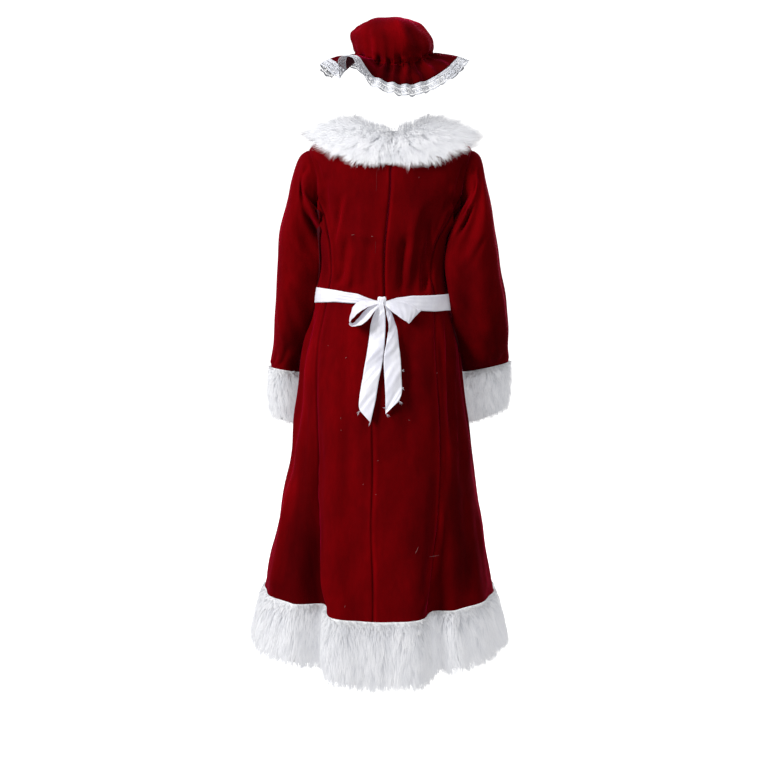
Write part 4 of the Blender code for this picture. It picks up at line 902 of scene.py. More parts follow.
def make_panels(velvet, velvet_back):
    """The seven lengths of velvet from neck or armhole to hem, turned in at their seams."""
    for name, (count, first_row, start, end) in PANELS.items():
        rows = body_rows(CLOTH_END)
        rows = rows[rows >= first_row - 1e-6]
        angles, row_grid, base, normal = body_grid(panel_angles(rows, count, start, end), rows)
        from_start = along_from_edge(base, 1)
        to_end = from_start[:, -1:] - from_start
        dip = seam_dip(from_start) + seam_dip(to_end)
        if name.startswith("side"):
            outer = to_end if name in ("side_back_right", "side_front_left") else from_start
            beside = smooth_step((row_grid - SHOULDER_TIP) / 0.6) * smooth_step((UNDERARM + 0.2 - row_grid) / 0.3)
            dip += beside * seam_dip(outer, 1.2, 4.0)
        if name == "back_left":
            dip -= placket_height(to_end, row_grid)
        ease = np.minimum(np.minimum(from_start, to_end) / BODY_EASE, 1.0)
        base = base + normal * (body_cloth(angles, row_grid) * ease - dip)[..., None]
        panel = make_piece(f"velvet_{name}", base, laid_grid(base), (velvet, velvet_back))
        # Painted shade and painted highlights on the velvet, from the table and beside each seam.
        shade = soft_depth(PAINTED_LIGHT_BODY, angles, row_grid) + seam_shade(from_start) + seam_shade(to_end)
        point_values(panel.data, "painted_shade_and_highlight", shade)
        thicken_cloth(panel, VELVET, lining=True)
        sew_in(panel, (f"bodice_{name}", f"skirt_{name}"))


def body_cloth(angle, row):
    """How far the bodice and skirt stand off their plain form through creases, gathers and ripples."""
    creases = [line for lines in BODY_CREASES.values() for line in lines]
    plain = dress_point(angle, row)
    bare = smooth_step((row - COLLAR_EDGE + 0.25) / 0.5) * smooth_step((FUR_TOP - 0.02 - row) / 0.4)
    loose = CREASE_GAIN * soft_depth(creases, angle, row) + waist_gathers(angle, row) + small_ripples(plain)
    return loose * bare - 0.5 * (1 - bare)


def point_values(mesh, name, values):
    """A value at each point for the material to read, such as the painted shade and highlights on the velvet."""
    marks = mesh.attributes.new(name, "FLOAT", "POINT")
    marks.data.foreach_set("value", np.asarray(values, np.float32).ravel())


def armhole_normal(side, ring):
    """The way out of the body at the armhole seam, by ring angle of the sleeve."""
    turn = np.radians(ring)
    away = np.where(np.sin(turn) >= 0, ARMHOLE_BACK, ARMHOLE_FRONT) * np.sin(turn)
    angle = 90 - away
    return dress_normal(angle if side == "right" else 360 - angle, ARMHOLE_MIDDLE - np.cos(turn))


def lap_over_body(side, points, ring, rows):
    """The slack at the back of a sleeve laps over the edge of the body and lies on it, so no light shows between."""
    lap = SLEEVE_LAP[side]
    down = smooth_step((rows - lap["start"]) / 1.2) * smooth_step((LAP_END - rows) / 1.6)
    moved = points.copy()
    moved[..., 0] -= SIDE_SIGN[side] * lap["reach"] * table_read(lap["share"], ring)[None] * down[:, None]
    angle, row = back_place(moved[..., 0], moved[..., 2])
    turned = LAP_THICKNESS * smooth_step((lap["fold"] + 10.0 - ring) / 20.0)
    stands = np.maximum(body_cloth(angle, row), 0.0) + LAP_CLEARANCE + turned[None]
    surface = dress_point(angle, row)[..., 1] - stands
    beside = (np.abs(angle) < 80.0) & (ring[None] > 60.0) & (ring[None] < 185.0)
    sunk = np.where(beside, np.maximum(moved[..., 1] - surface, 0.0), 0.0)
    moved[..., 1] -= sunk * smooth_step(down / 0.3)[:, None]
    return moved


def sleeve_cloth(side, ring, rows):
    """A sleeve's outer surface with its slack and creases. Its first row is sewn along the armhole."""
    row_grid = np.repeat(rows[:, None], len(ring), axis=1)
    base, out = sleeve_points(side, ring, rows)
    full = smooth_step(rows / 0.9) * smooth_step((CUFF_TOP - 0.3 - rows) / 1.6)
    base[..., 1] -= SLEEVE_FULLNESS[side] * table_read(FULL_SHARE, ring)[None] * full[:, None]
    down = along_from_edge(base, 0)
    shoulder = 0.25 + 0.75 * smooth_step((np.minimum(ring, 360 - ring) - 8.0) / 50.0)[None]
    dip = seam_dip(down, 0.9, 1.4) * shoulder
    soft = SLEEVE_CREASE_GAIN * soft_depth(SOFT_SLEEVE_CREASES[side], ring[None], row_grid) + small_ripples(base)
    soft = soft * smooth_step((np.abs(ring - 180.0) - 44.0) / 22.0)[None]
    soft = soft * smooth_step((CUFF_TOP - 0.02 - row_grid) / 0.4) * np.minimum(down / SLEEVE_EASE, 1.0)
    start, seam = base[:1].copy(), bump_at(down, 3.0)[..., None]
    base = lap_over_body(side, base + out * (soft - dip)[..., None], ring, rows)
    sewn = start - armhole_normal(side, ring)[None] * SEAM_DEPTH + (base - base[:1])
    return base * (1 - seam) + sewn * seam


def make_sleeves(velvet, velvet_back):
    """The two sleeves, from the armhole to just inside the cuff's fur."""
    back = armhole_turns(34, 24)
    ring = np.concatenate([back, 360 - back[-2:0:-1]])
    rows = np.concatenate([[0, 0.03, 0.08, 0.16], np.arange(0.28, SLEEVE_END, 0.12), [SLEEVE_END]])
    rows = np.unique(np.round(rows, 6))
    for side in SIDE_SIGN:
        cloth = sleeve_cloth(side, ring, rows)
        faces = laid_grid(cloth, wrap=True, flip=side == "right")
        sleeve = make_piece(f"velvet_sleeve_{side}", cloth, faces, (velvet, velvet_back))
        # Painted shade and painted highlights on the sleeve.
        shade = soft_depth(PAINTED_LIGHT_SLEEVES[side], ring[None], np.repeat(rows[:, None], len(ring), axis=1))
        point_values(sleeve.data, "painted_shade_and_highlight", shade)
        thicken_cloth(sleeve, VELVET, lining=True)
        sew_in(sleeve, (f"sleeve_{side}",))


def sown_places(grid, fields, count, random, wrap=False):
    """Places spread evenly over a grid of points, with what each field says there, and the share down the rows."""
    if wrap:
        grid, *fields = (np.concatenate([g, g[:, :1]], axis=1) for g in (grid, *fields))
    rows, columns = grid.shape[:2]
    across, down = grid[:-1, 1:] - grid[:-1, :-1], grid[1:, :-1] - grid[:-1, :-1]
    area = np.linalg.norm(np.cross(across, down), axis=-1).ravel()
    cell = random.choice(len(area), count, p=area / area.sum())
    r, c = np.divmod(cell, columns - 1)
    u, v = random.random((2, count))[..., None]

    def read(field):
        top = field[r, c] * (1 - u) + field[r, c + 1] * u
        low = field[r + 1, c] * (1 - u) + field[r + 1, c + 1] * u
        return top * (1 - v) + low * v

    return [read(field) for field in (grid, *fields)] + [(r + v[:, 0]) / (rows - 1)]


def nearest_lock(points, locks):
    """Which lock of fur each place belongs to."""
    found = np.empty(len(points), int)
    for first in range(0, len(points), LOCK_BATCH):
        part = points[first : first + LOCK_BATCH]
        found[first : first + LOCK_BATCH] = ((part[:, None] - locks[None]) ** 2).sum(axis=-1).argmin(axis=1)
    return found


def comb_strands(look, random, grid, fields, last):
    """Each strand's path: it rises from the backing, bends over and lies along the comb, close to its lock."""
    strands = int(look["strands"] * (1.0))
    root, out, way, full, share = sown_places(grid, fields, strands, random, look["round"])
    kept = share <= last
    root, out, way, full, share = root[kept], unit(out[kept]), way[kept], full[kept, 0], share[kept]
    count = len(root)
    area = np.linalg.norm(np.cross(grid[1:, 1:] - grid[:-1, 1:], grid[1:, 1:] - grid[1:, :-1]), axis=-1).sum()
    locks = sown_places(grid, (), max(8, int(area / look["lock_size"] ** 2)), random, look["round"])[0]
    lock, number = nearest_lock(root, locks), len(locks)
    lock_sway = random.normal(0, look["sway"], number)
    lock_height, lock_run = random.uniform(0.74, 1.0, number), random.uniform(0.84, 1.12, number)
    side = unit(np.cross(out, way))
    sway = (lock_sway[lock] + random.normal(0, look["sway"] * 0.5, count))[:, None]
    way = unit(unit(way) + side * sway)
    places = np.linspace(0, 1, len(look["pile"]))
    height = full * np.interp(share, places, look["pile"]) * lock_height[lock] * random.uniform(0.5, 1.0, count)
    reach = full * np.interp(share, places, look["run"]) * lock_run[lock] * random.uniform(0.75, 1.05, count)
    pull = (locks[lock] - root) * random.uniform(*look["pull"], (count, 1))
    curl = side * random.normal(0, look["curl"], (count, 1))
    steps = np.array(STRAND_STEPS)[:, None, None]
    rise = 1 - (1 - steps) ** 2.1
    path = (
        root[None]
        + out[None] * rise * height[None, :, None]
        + way[None] * steps ** look["lie"] * reach[None, :, None]
        + pull[None] * steps**1.3
        + curl[None] * steps**2 * np.abs(reach)[None, :, None]
    )
    return path, out, side, lock, number


def cut_strands(look, random, path, out, side):
    """Each strand as a flat blade of seven points, and normals that lean out of the garment to light it softly."""
    count = len(out)
    along = np.gradient(path, axis=0)
    roll = random.normal(0, 0.4, (count, 1))
    flat = unit(np.cross(along, out[None] + side[None] * roll[None]))
    thick = random.uniform(0.7, 1.2, (count, 1)) * look["width"] / 2
    widths = np.array(STEP_WIDTHS)[:, None, None] * thick[None]
    left, right = path[:3] - flat[:3] * widths, path[:3] + flat[:3] * widths
    points = np.stack([left[0], right[0], left[1], right[1], left[2], right[2], path[3]], axis=1)
    facing = unit(np.cross(flat, along))[list(POINT_STEPS)]
    return points, unit(out[None] + 0.32 * facing).transpose(1, 0, 2)


def strand_mesh(name, points, lit):
    """One mesh of all the strands, two quads and a pointed tip each."""
    count, each = points.shape[:2]
    start = np.arange(count)[:, None] * each
    quads = np.concatenate([start + [0, 1, 3, 2], start + [2, 3, 5, 4]])
    corners = np.concatenate([quads.ravel(), (start + [4, 5, 6]).ravel()])
    mesh = bpy.data.meshes.new(name)
    mesh.vertices.add(count * each)
    mesh.vertices.foreach_set("co", (points.reshape(-1) * MM).astype(np.float32))
    mesh.loops.add(len(corners))
    mesh.loops.foreach_set("vertex_index", corners.astype(np.int32))
    mesh.polygons.add(count * 3)
    first_loops = np.concatenate([np.arange(2 * count) * 4, 8 * count + np.arange(count) * 3])
    mesh.polygons.foreach_set("loop_start", first_loops.astype(np.int32))
    mesh.polygons.foreach_set("use_smooth", np.ones(count * 3, bool))
    mesh.update(calc_edges=True)
    mesh.normals_split_custom_set_from_vertices(lit.reshape(-1, 3).tolist())
    return mesh


def grow_fur(name, material, grid, fields, look):
    """A trimming's fur. Its material reads each point's place along the strand and the tone of the strand's lock."""
    random = np.random.default_rng(look["seed"] + len(name) + ord(name[-1]))
    path, out, side, lock, number = comb_strands(look, random, grid, fields, look["last"])
    mesh = strand_mesh(name, *cut_strands(look, random, path, out, side))
    point_values(mesh, "strand_place", np.tile([STRAND_STEPS[step] for step in POINT_STEPS], len(lock)))
    lock_tone = np.clip(random.random(number)[lock] * 0.6 + random.random(len(lock)) * 0.4, 0, 1)
    point_values(mesh, "lock_tone", np.repeat(lock_tone, len(POINT_STEPS)))
    mesh.materials.append(material)
    fur = bpy.data.objects.new(name, mesh)
    bpy.context.scene.collection.objects.link(fur)
    sew_in(fur)
    return fur


def sew_trimming(part, looks, base, out, comb, fluff, roots=None, flip=False):
    """A fur trimming: its strands, and the knitted backing that they grow from."""
    fur, knitted = looks
    look = FUR_KINDS[part.split("_")[0]]
    grid = base + out * (LAY_GAP + BACKING)
    piece = grow_fur(f"fur_{part}", fur, grid if roots is None else roots, (out, comb, fluff[..., None]), look)
    backing = make_piece(f"backing_{part}", grid, laid_grid(grid, look["round"], flip), (knitted,))
    thicken_cloth(backing, BACKING)
    node = part.replace("hem_", "hem_fur_")
    sew_in(backing, (node,))


def down_rows(grid):
    """The direction down the rows of a grid, one unit long."""
    return unit(np.gradient(grid, axis=0))


def make_collar(looks):
    """The two halves of the collar, fluffed out over the shoulders and parted at the centre back and front."""
    rows = np.linspace(0, COLLAR_EDGE, 14)
    share = np.linspace(0, 180, 90)
    for side, around in (("right", share), ("left", 360 - share)):
        angles, _, base, normal = body_grid(around, rows)
        from_back = np.abs(turn_from(angles, 0))
        parted = bump_at(from_back, 9.0) + bump_at(180 - from_back, 9.0)
        rise = np.interp(rows, (0, 0.5, 1, 1.5, 2, 2.5), (9, 7, 4, 1, 0, 0))[:, None] * (1 - 0.6 * parted)
        roots = base + normal * (LAY_GAP + 1.5)
        roots[..., 2] += rise
        fluff = (1 + 0.55 * bump_at(from_back - 92, 42.0)) * (1 - 0.45 * parted)
        comb = down_rows(roots)
        comb[..., 2] += 0.45 * bump_at(from_back - 92, 34.0)
        part = f"collar_{side}"
        sew_trimming(part, looks, base, normal, unit(comb), fluff, roots, side == "left")


def make_cuffs(looks):
    """The fur round the end of each sleeve."""
    ring = np.linspace(0, 360, 72, endpoint=False)
    for side in SIDE_SIGN:
        base, out = sleeve_points(side, ring, np.linspace(CUFF_TOP, CUFF_END, 10))
        fluff, under = np.ones(base.shape[:2]), (f"velvet_sleeve_{side}",)
        sew_trimming(f"cuff_{side}", looks, base, out, down_rows(base), fluff, flip=side == "right")


def make_hem(looks):
    """The deep band of fur round the hem, in a back length and a front length."""
    for part, first, last in (("hem_back", -90.0, 90.0), ("hem_front", 90.0, 270.0)):
        angles, _, base, normal = body_grid(np.linspace(first, last, 160), np.linspace(FUR_TOP, HEM, 9))
        comb = down_rows(base)
        comb[..., 2] -= 0.15
        sew_trimming(part, looks, base, normal, unit(comb), np.ones(angles.shape))


def make_sash(satin):
    """The ribbon round the waist, drawn narrower and creased where it runs into the knot."""
    share = np.linspace(0, 1, 13)
    around = np.linspace(-180, 180, 400, endpoint=False)
    _, _, base, normal = body_grid(around, SASH_TOP + (SASH_BOTTOM - SASH_TOP) * share)
    places = list(SASH_EDGES)
    top, bottom = (np.interp(around, places, [SASH_EDGES[p][i] for p in places]) for i in (0, 1))
    drawn = top + (bottom - top) * share[:, None]
    base = base[:1] * (1 - drawn[..., None]) + base[-1:] * drawn[..., None]
    squeezed = np.clip(1.25 - (bottom - top), 0.12, 1.0)[None]
    across = share[:, None]
    pleats = np.sin(across * 22 + 0.6 * np.sin(np.radians(around) * 7)[None]) + 0.5 * np.sin(across * 41 + 1.0)
    slack = 0.7 * np.sin(np.radians(around) * 9 + 1.0)[None] * np.sin(across * math.pi)
    diagonal = 0.5 * np.sin(across * 6 + np.radians(around)[None] * 21)
    rim = bump_at(np.minimum(across, 1 - across), 0.03)
    lift = LAY_GAP + SATIN + 1.3 + squeezed * (0.9 + 0.9 * pleats) + np.abs(slack) + diagonal * squeezed - 0.5 * rim
    grid = base + normal * lift[..., None]
    sash = make_piece("satin_sash", grid, laid_grid(grid, wrap=True), (satin,))
    thicken_cloth(sash, SASH_SATIN)
    sew_in(sash, ("sash",))


def make_knot(satin):
    """A small tight wrap, creased where the ribbon turns round the loops."""
    turns, levels = 72, 30
    across, up = np.meshgrid(np.linspace(0, 2 * math.pi, turns, endpoint=False), np.linspace(-1, 1, levels))
    swell = 0.55 + 0.45 * np.sqrt(1 - (0.98 * up) ** 2)
    face = np.clip(-np.sin(across), 0, 1)
    crease = 1 - 0.12 * face * (0.5 + 0.5 * np.cos(7 * across + 1.5 * up)) - 0.06 * face * np.cos(13 * across - up)
    wide, deep, tall = (size / 2 for size in TIGHT_KNOT)
    grid = np.stack([
        wide * swell * crease * signed_power(np.cos(across), 0.8),
        deep * swell * crease * signed_power(np.sin(across), 0.8),
        tall * up + 1.2 * np.sin(across * 2 + 1),
    ], axis=-1) + knot_middle() + np.array(KNOT_SHIFT)
    points = np.concatenate([grid.reshape(-1, 3), [grid[0].mean(axis=0)], [grid[-1].mean(axis=0)]])
    faces = [list(face[::-1]) for face in laid_grid(grid, wrap=True)]
    for turn in range(turns):
        right = (turn + 1) % turns
        faces.append([levels * turns, right, turn])
        faces.append([levels * turns + 1, (levels - 1) * turns + turn, (levels - 1) * turns + right])
    knot = make_piece("satin_bow_knot", points, faces, (satin,))
    sew_in(knot, ("bow_knot",))


def off_the_back(places):
    """Points from x, z and how far each stands off the back of the dress, straight out behind it."""
    x, z, lift = places[..., 0], places[..., 1], places[..., 2]
    angle, row = back_place(x, z)
    return np.stack([x, dress_point(angle, row)[..., 1] - lift, z], axis=-1)


def ribbon_relief(name, share, across):
    """Fine creases that run out of the knot, then the crown, waves and crumples of the loose ribbon."""
    loop = "loop" in name
    from_knot = np.minimum(share, 1 - share) * 2 if loop else share * 1.6
    gathered = np.exp(-from_knot * 3.4)
    creases = gathered * (0.8 * np.sin(across * 21 + 0.6) + 0.5 * np.sin(across * 37 + 2.0))
    crown = (-1.6 if loop else 1.6) * np.sin(across * math.pi)
    waves = 1.1 * np.sin(share * (9 if loop else 23) + across * 3.5 + len(name))
    crumple = 0.8 * np.sin(share * 61 + across * 9) * np.sin(share * 17 + 2)
    relief = creases + (crown + waves + crumple) * (1 - gathered)
    if name in TAIL_TWIST:
        where, slant, size = TAIL_TWIST[name]
        relief = relief + size * bump_at(share - where - slant * across, 0.018)
    return relief


def make_bow(satin):
    """Loops and tails, each a strip of ribbon between two edges."""
    for name, edges in BOW_EDGES.items():
        kind = name.split("_")[1]
        count = BOW_COLUMNS[kind]
        at = np.linspace(0, len(edges[0]) - 1, count)
        near, far = (smooth_read(np.array(edge, float), at) for edge in edges)
        steps = np.linspace(0, 1, RIBBON_ROWS)[None, :, None]
        strip = off_the_back(near[:, None] * (1 - steps) + far[:, None] * steps)
        face = unit(np.cross(np.gradient(strip, axis=0), np.gradient(strip, axis=1)))
        relief = ribbon_relief(name, np.linspace(0, 1, count)[:, None], steps[..., 0])
        strip = strip + face * relief[..., None]
        ribbon = make_piece(f"satin_{name}", strip, laid_grid(strip), (satin,))
        shell = ribbon.modifiers.new("cloth_thickness", "SOLIDIFY")
        shell.thickness, shell.offset = BOW_SATIN * MM, 0.0
        sew_in(ribbon, (name,))


def thread(path, radius):
    """Points and faces of a fine round thread, drawn to a point at both ends."""
    along = unit(np.gradient(path, axis=0))
    side = unit(np.cross(along, [0.31, 0.52, 0.79]))
    other = np.cross(along, side)
    turn = np.linspace(0, 2 * math.pi, 6, endpoint=False)
    ring = side[:, None] * np.cos(turn)[None, :, None] + other[:, None] * np.sin(turn)[None, :, None]
    size = radius * np.minimum(1.0, 0.25 + 4 * np.minimum(np.linspace(0, 1, len(path)), np.linspace(1, 0, len(path))))
    grid = path[:, None] + ring * size[:, None, None]
    faces = laid_grid(grid, wrap=True).tolist()
    last = grid.shape[0] * 6 - 6
    return grid.reshape(-1, 3), faces + [list(range(6)), [last + i for i in reversed(range(6))]]


def join_threads(name, threads, material):
    """One piece from many fine threads."""
    points, faces, count = [], [], 0
    for part, part_faces in threads:
        points.append(part)
        faces += [[count + i for i in face] for face in part_faces]
        count += len(part)
    piece = make_piece(name, np.concatenate(points), faces, (material,))
    sew_in(piece)


def make_lint(lint, random):
    """Bits of lint caught on the pile."""
    steps = np.linspace(0, 1, 7)
    threads = []
    for x, z, length, lean in LINT:
        bend = random.normal(0, 0.22)
        along = (steps - 0.5) * length
        sway = bend * length * np.sin(steps * math.pi)
        xs = x + along * math.cos(lean) - sway * math.sin(lean)
        zs = z + along * math.sin(lean) + sway * math.cos(lean)
        lift = 1.6 + 1.4 * np.sin(steps * math.pi) * random.random()
        threads.append(thread(off_the_back(np.stack([xs, zs, lift], axis=-1)), LINT_RADIUS))
    join_threads("lint_on_velvet", threads, lint)


def make_frayed_ends(satin, random):
    """Four loose threads at each frayed corner of the bow."""
    steps = np.linspace(0, 1, 7)
    threads = []
    for x, z, lift, lean in FRAYED_ENDS:
        for _ in range(4):
            way = lean + random.normal(0, 0.5)
            along = steps * random.uniform(4, 9)
            xs = x + along * math.cos(way) + random.normal(0, 0.6)
            zs = z + along * math.sin(way) - 0.25 * along * steps
            threads.append(thread(off_the_back(np.stack([xs, zs, lift + steps * 1.5], axis=-1)), STRAY_RADIUS))
    join_threads("frayed_ribbon_threads", threads, satin)


def make_placket_stitches(stitch):
    """The row of stitches along the placket, beside the centre back seam."""
    rows = np.arange(COLLAR_EDGE - 0.2, SASH_TOP, 0.002)
    seam = np.array([centre_back(row) for row in rows])
    turn = np.degrees(PLACKET_WIDTH / BACK_RADIUS)
    line, normal = dress_point(seam - turn, rows), dress_normal(seam - turn, rows)
    down = np.concatenate([[0], np.cumsum(np.linalg.norm(np.diff(line, axis=0), axis=1))])
    bulge = 0.15 + 0.25 * np.sin(np.linspace(0, math.pi, 5))
    threads = []
    for first in np.arange(0, down[-1] - STITCH, STITCH_PITCH):
        places = np.interp(first + np.linspace(0, STITCH, 5), down, np.arange(len(down)))
        spot = np.clip(places.astype(int), 0, len(line) - 1)
        threads.append(thread(line[spot] + normal[spot] * bulge[:, None], STRAY_RADIUS))
    join_threads("placket_stitches", threads, stitch)


def pucker_depth(angles, away, above):
    """The puckers that the elastic draws, uneven in depth and length. Above it they run up the crown."""
    total = np.zeros((len(away), len(angles)))
    for place, deep, long, low, reach, half_width in PUCKERS:
        spread = half_width * (1 + away / (60.0 if above else 34.0))
        size, length = (deep * PUCKER_GAIN, long) if above else (low * PUCKER_GAIN, reach)
        fade = smooth_step((length - away) / (0.6 * length)) * smooth_step(away / 4.0 + 0.25)
        total += size * fade * bump_at(turn_from(angles[None], place), spread)
    return total


def make_cap(velvet, velvet_back):
    """The gathered cap: crown, elastic and brim in one disc of velvet."""
    angles = np.linspace(0, 360, CAP_COLUMNS_ROUND, endpoint=False)
    turn = np.radians(angles)[None]
    rows = np.concatenate([np.linspace(0, 4, 20), np.linspace(4.1, ELASTIC, 20)])
    reaches = np.linspace(0, BRIM_WIDTH, 20)[1:]
    above, below = (ELASTIC - rows)[:, None] * CROWN_ROW_LENGTH, reaches[:, None]
    grid = np.stack(
        [cap_ring(angles, np.full_like(angles, row)) for row in rows]
        + [brim_point(angles, np.full_like(angles, reach)) for reach in reaches]
    )
    wide = np.concatenate([grid[:, -1:], grid, grid[:, :1]], axis=1)
    normal = unit(np.cross(np.gradient(grid, axis=0), np.gradient(wide, axis=1)[:, 1:-1]))
    away = np.concatenate([above, below])
    fine = np.cos(57 * turn + 1.2 * np.sin(4 * turn)) + 0.5 * np.cos(89 * turn + np.sin(7 * turn))
    depth = 1.3 * fine * np.exp(-away / 14.0) - 2.2 * bump_at(away, 3.0)
    depth += np.concatenate([pucker_depth(angles, above, True), pucker_depth(angles, below, False)])
    depth[: len(rows)] += soft_depth(CROWN_FOLDS, angles[None], rows[:, None])
    grid = grid + normal * depth[..., None]
    points = np.concatenate([grid.reshape(-1, 3), [grid[0].mean(axis=0)]])
    columns = len(angles)
    faces = laid_grid(grid, wrap=True).tolist()
    faces += [[len(points) - 1, c, (c + 1) % columns] for c in range(columns)]
    cap = make_piece("velvet_cap", points, faces, (velvet, velvet_back))
    # Painted shade and painted highlights on the crown, and the brim painted a shade darker.
    shade = np.concatenate([
        soft_depth(PAINTED_LIGHT_CROWN, angles[None], rows[:, None]),
        PAINTED_BRIM_SHADE + soft_depth(PAINTED_LIGHT_BRIM, angles[None], reaches[:, None]),
    ])
    point_values(cap.data, "painted_shade_and_highlight", np.append(shade.ravel(), 0.0))
    thicken_cloth(cap, CAP_VELVET, lining=True)
    sew_in(cap, ("cap",))


def lace_solid(across, along):
    """Above zero where there is lace. Across counts scallops round the edge, and along runs from 0 at the seam to 1."""
    place = across - np.floor(across)
    scallop = 0.87 + 0.12 * np.sin(place * math.pi) ** 0.6
    edge = scallop - along
    x, y = (place - 0.5) * SCALLOP_PITCH, (along - 0.50) * LACE_WIDTH
    far, turn = np.hypot(x, y), np.arctan2(y, x)
    petals = 5.6 * (0.66 + 0.34 * np.cos(5 * turn + 0.5)) - far
    flower = np.minimum(petals, far - 1.3) / 1.2
    leaf = 1.6 - np.hypot((np.abs(x) - 8.2) * 0.9 + y * 0.35, (y - 3.0) * 0.42)
    grid_x, grid_y = across * SCALLOP_PITCH / NET_PITCH, along * LACE_WIDTH / NET_PITCH
    shifted = grid_x + 0.5 * (np.floor(grid_y) % 2)
    hole = 0.42 - np.hypot(shifted % 1 - 0.5, grid_y % 1 - 0.5)
    net = -hole * NET_PITCH
    header = (0.09 - along) * 12
    inner_cord = (0.045 - np.abs(along - 0.24 - 0.03 * np.sin(across * 2 * math.pi))) * 16
    cord = 1 - np.abs(edge - 0.05) / 0.045
    solid = np.maximum.reduce([net, header, flower, leaf, cord, inner_cord])
    return np.minimum(solid, edge * 12)


def make_lace(lace):
    """The gathered lace, its openings cut right through along smooth lines."""
    for side, first in (("right", 0.0), ("left", 180.0)):
        angles = np.linspace(first, first + 180.0, LACE_STEPS // 2 + 1)
        share = np.linspace(0, 1, LACE_ROWS + 1)
        reaches = BRIM_WIDTH + LACE_GAP + np.linspace(0, LACE_WIDTH, LACE_ROWS + 1)
        grid = np.stack([brim_point(angles, np.full_like(angles, reach)) for reach in reaches])
        points, faces = cut_cells(grid, lace_solid(*np.meshgrid(angles / 360.0 * SCALLOPS, share)))
        piece = make_piece(f"lace_{side}", points, faces, (lace,))
        thicken_cloth(piece, LACE)
        node = f"cap_lace_{side}"
        sew_in(piece, (node,))


def cut_cells(grid, field):
    """The part of each grid cell where the field is above zero, with points shared along the cut."""
    rows, columns = field.shape
    points, faces, known = [], [], {}

    def corner(r, c):
        key = (r, c)
        if key not in known:
            known[key] = len(points)
            points.append(grid[r, c])
        return known[key]

    def crossing(a, b):
        key = (min(a, b), max(a, b))
        if key not in known:
            fa, fb = field[a], field[b]
            t = np.clip(fa / (fa - fb), 0.02, 0.98)
            known[key] = len(points)
            points.append(grid[a] * (1 - t) + grid[b] * t)
        return known[key]

    for r in range(rows - 1):
        for c in range(columns - 1):
            ring = [(r, c), (r + 1, c), (r + 1, c + 1), (r, c + 1)]
            inside = [field[p] > 0 for p in ring]
            if not any(inside):
                continue
            face = []
            for i in range(4):
                j = (i + 1) % 4
                if inside[i]:
                    face.append(corner(*ring[i]))
                if inside[i] != inside[j]:
                    face.append(crossing(ring[i], ring[j]))
            if len(face) > 2:
                faces.append(face)
    return np.array(points), faces


def shade_nodes(tree):
    """Short ways to add, set and join nodes in one material or group."""

    def add(kind, **inputs):
        node = tree.nodes.new(kind)
        for key, value in inputs.items():
            node.inputs[key.replace("_", " ")].default_value = value
        return node

    def join(source, target):
        tree.links.new(source, target)

    return add, join


def new_group(name, inputs, outputs):
    """An effect that several materials share, with its named inputs and outputs."""
    group = bpy.data.node_groups.new(name, "ShaderNodeTree")
    for label, start in inputs.items():
        socket = group.interface.new_socket(label, in_out="INPUT", socket_type="NodeSocketFloat")
        socket.default_value = start
    for label in outputs:
        group.interface.new_socket(label, in_out="OUTPUT", socket_type="NodeSocketFloat")
    add, join = shade_nodes(group)
    return group, add, join, group.nodes.new("NodeGroupInput"), group.nodes.new("NodeGroupOutput")


def make_mottle_group():
    """Soft cloudy change of tone with finer flecks in it, the same all through the cloth."""
    group, add, join, given, out = new_group(
        "cloth_mottle", {"Cloud Size": 8.0, "Fleck Size": 60.0, "Stretch": 1.0}, ("Cloud", "Fleck")
    )
    place = add("ShaderNodeTexCoord")
    scale = add("ShaderNodeCombineXYZ", X=1.0, Y=1.0)
    join(given.outputs["Stretch"], scale.inputs["Z"])
    stretched = add("ShaderNodeVectorMath")
    stretched.operation = "MULTIPLY"
    join(place.outputs["Object"], stretched.inputs[0])
    join(scale.outputs["Vector"], stretched.inputs[1])
    for name, detail in (("Cloud", 4.0), ("Fleck", 3.0)):
        noise = add("ShaderNodeTexNoise", Detail=detail, Roughness=0.6)
        join(stretched.outputs["Vector"], noise.inputs["Vector"])
        join(given.outputs[f"{name} Size"], noise.inputs["Scale"])
        join(noise.outputs["Fac"], out.inputs[name])
    return group


def make_weave_group():
    """Fine crossing threads as a height."""
    group, add, join, given, out = new_group("fine_weave", {"Threads": 900.0, "Slant": 0.6}, ("Height",))
    place = add("ShaderNodeTexCoord")
    turn = add("ShaderNodeVectorRotate")
    turn.rotation_type = "Y_AXIS"
    join(place.outputs["Object"], turn.inputs["Vector"])
    join(given.outputs["Slant"], turn.inputs["Angle"])
    both = add("ShaderNodeMath")
    both.operation = "ADD"
    for direction, socket in (("X", 0), ("Z", 1)):
        wave = add("ShaderNodeTexWave", Distortion=0.6, Detail=1.0)
        wave.wave_type = "BANDS"
        wave.bands_direction = direction
        join(turn.outputs["Vector"], wave.inputs["Vector"])
        join(given.outputs["Threads"], wave.inputs["Scale"])
        join(wave.outputs["Fac"], both.inputs[socket])
    join(both.outputs["Value"], out.inputs["Height"])
    return group


def new_material(name, roughness, **settings):
    """A material with its Principled shader set, and the short ways to add to it."""
    material = bpy.data.materials.new(name)
    material.use_nodes = True
    shader = material.node_tree.nodes["Principled BSDF"]
    shader.inputs["Roughness"].default_value = roughness
    for key, value in settings.items():
        shader.inputs[key.replace("_", " ")].default_value = value
    add, join = shade_nodes(material.node_tree)
    return material, shader, add, join


def put_group(tree_add, group, **values):
    """One use of a shared effect, with this material's own values."""
    node = tree_add("ShaderNodeGroup")
    node.node_tree = group
    for key, value in values.items():
        node.inputs[key.replace("_", " ")].default_value = value
    return node


def multiply(add, join, first, second):
    """The product of two colours."""
    mixed = add("ShaderNodeMix")
    mixed.data_type, mixed.blend_type = "RGBA", "MULTIPLY"
    mixed.inputs["Factor"].default_value = 1.0
    join(first, mixed.inputs[6])
    join(second, mixed.inputs[7])
    return mixed.outputs[2]


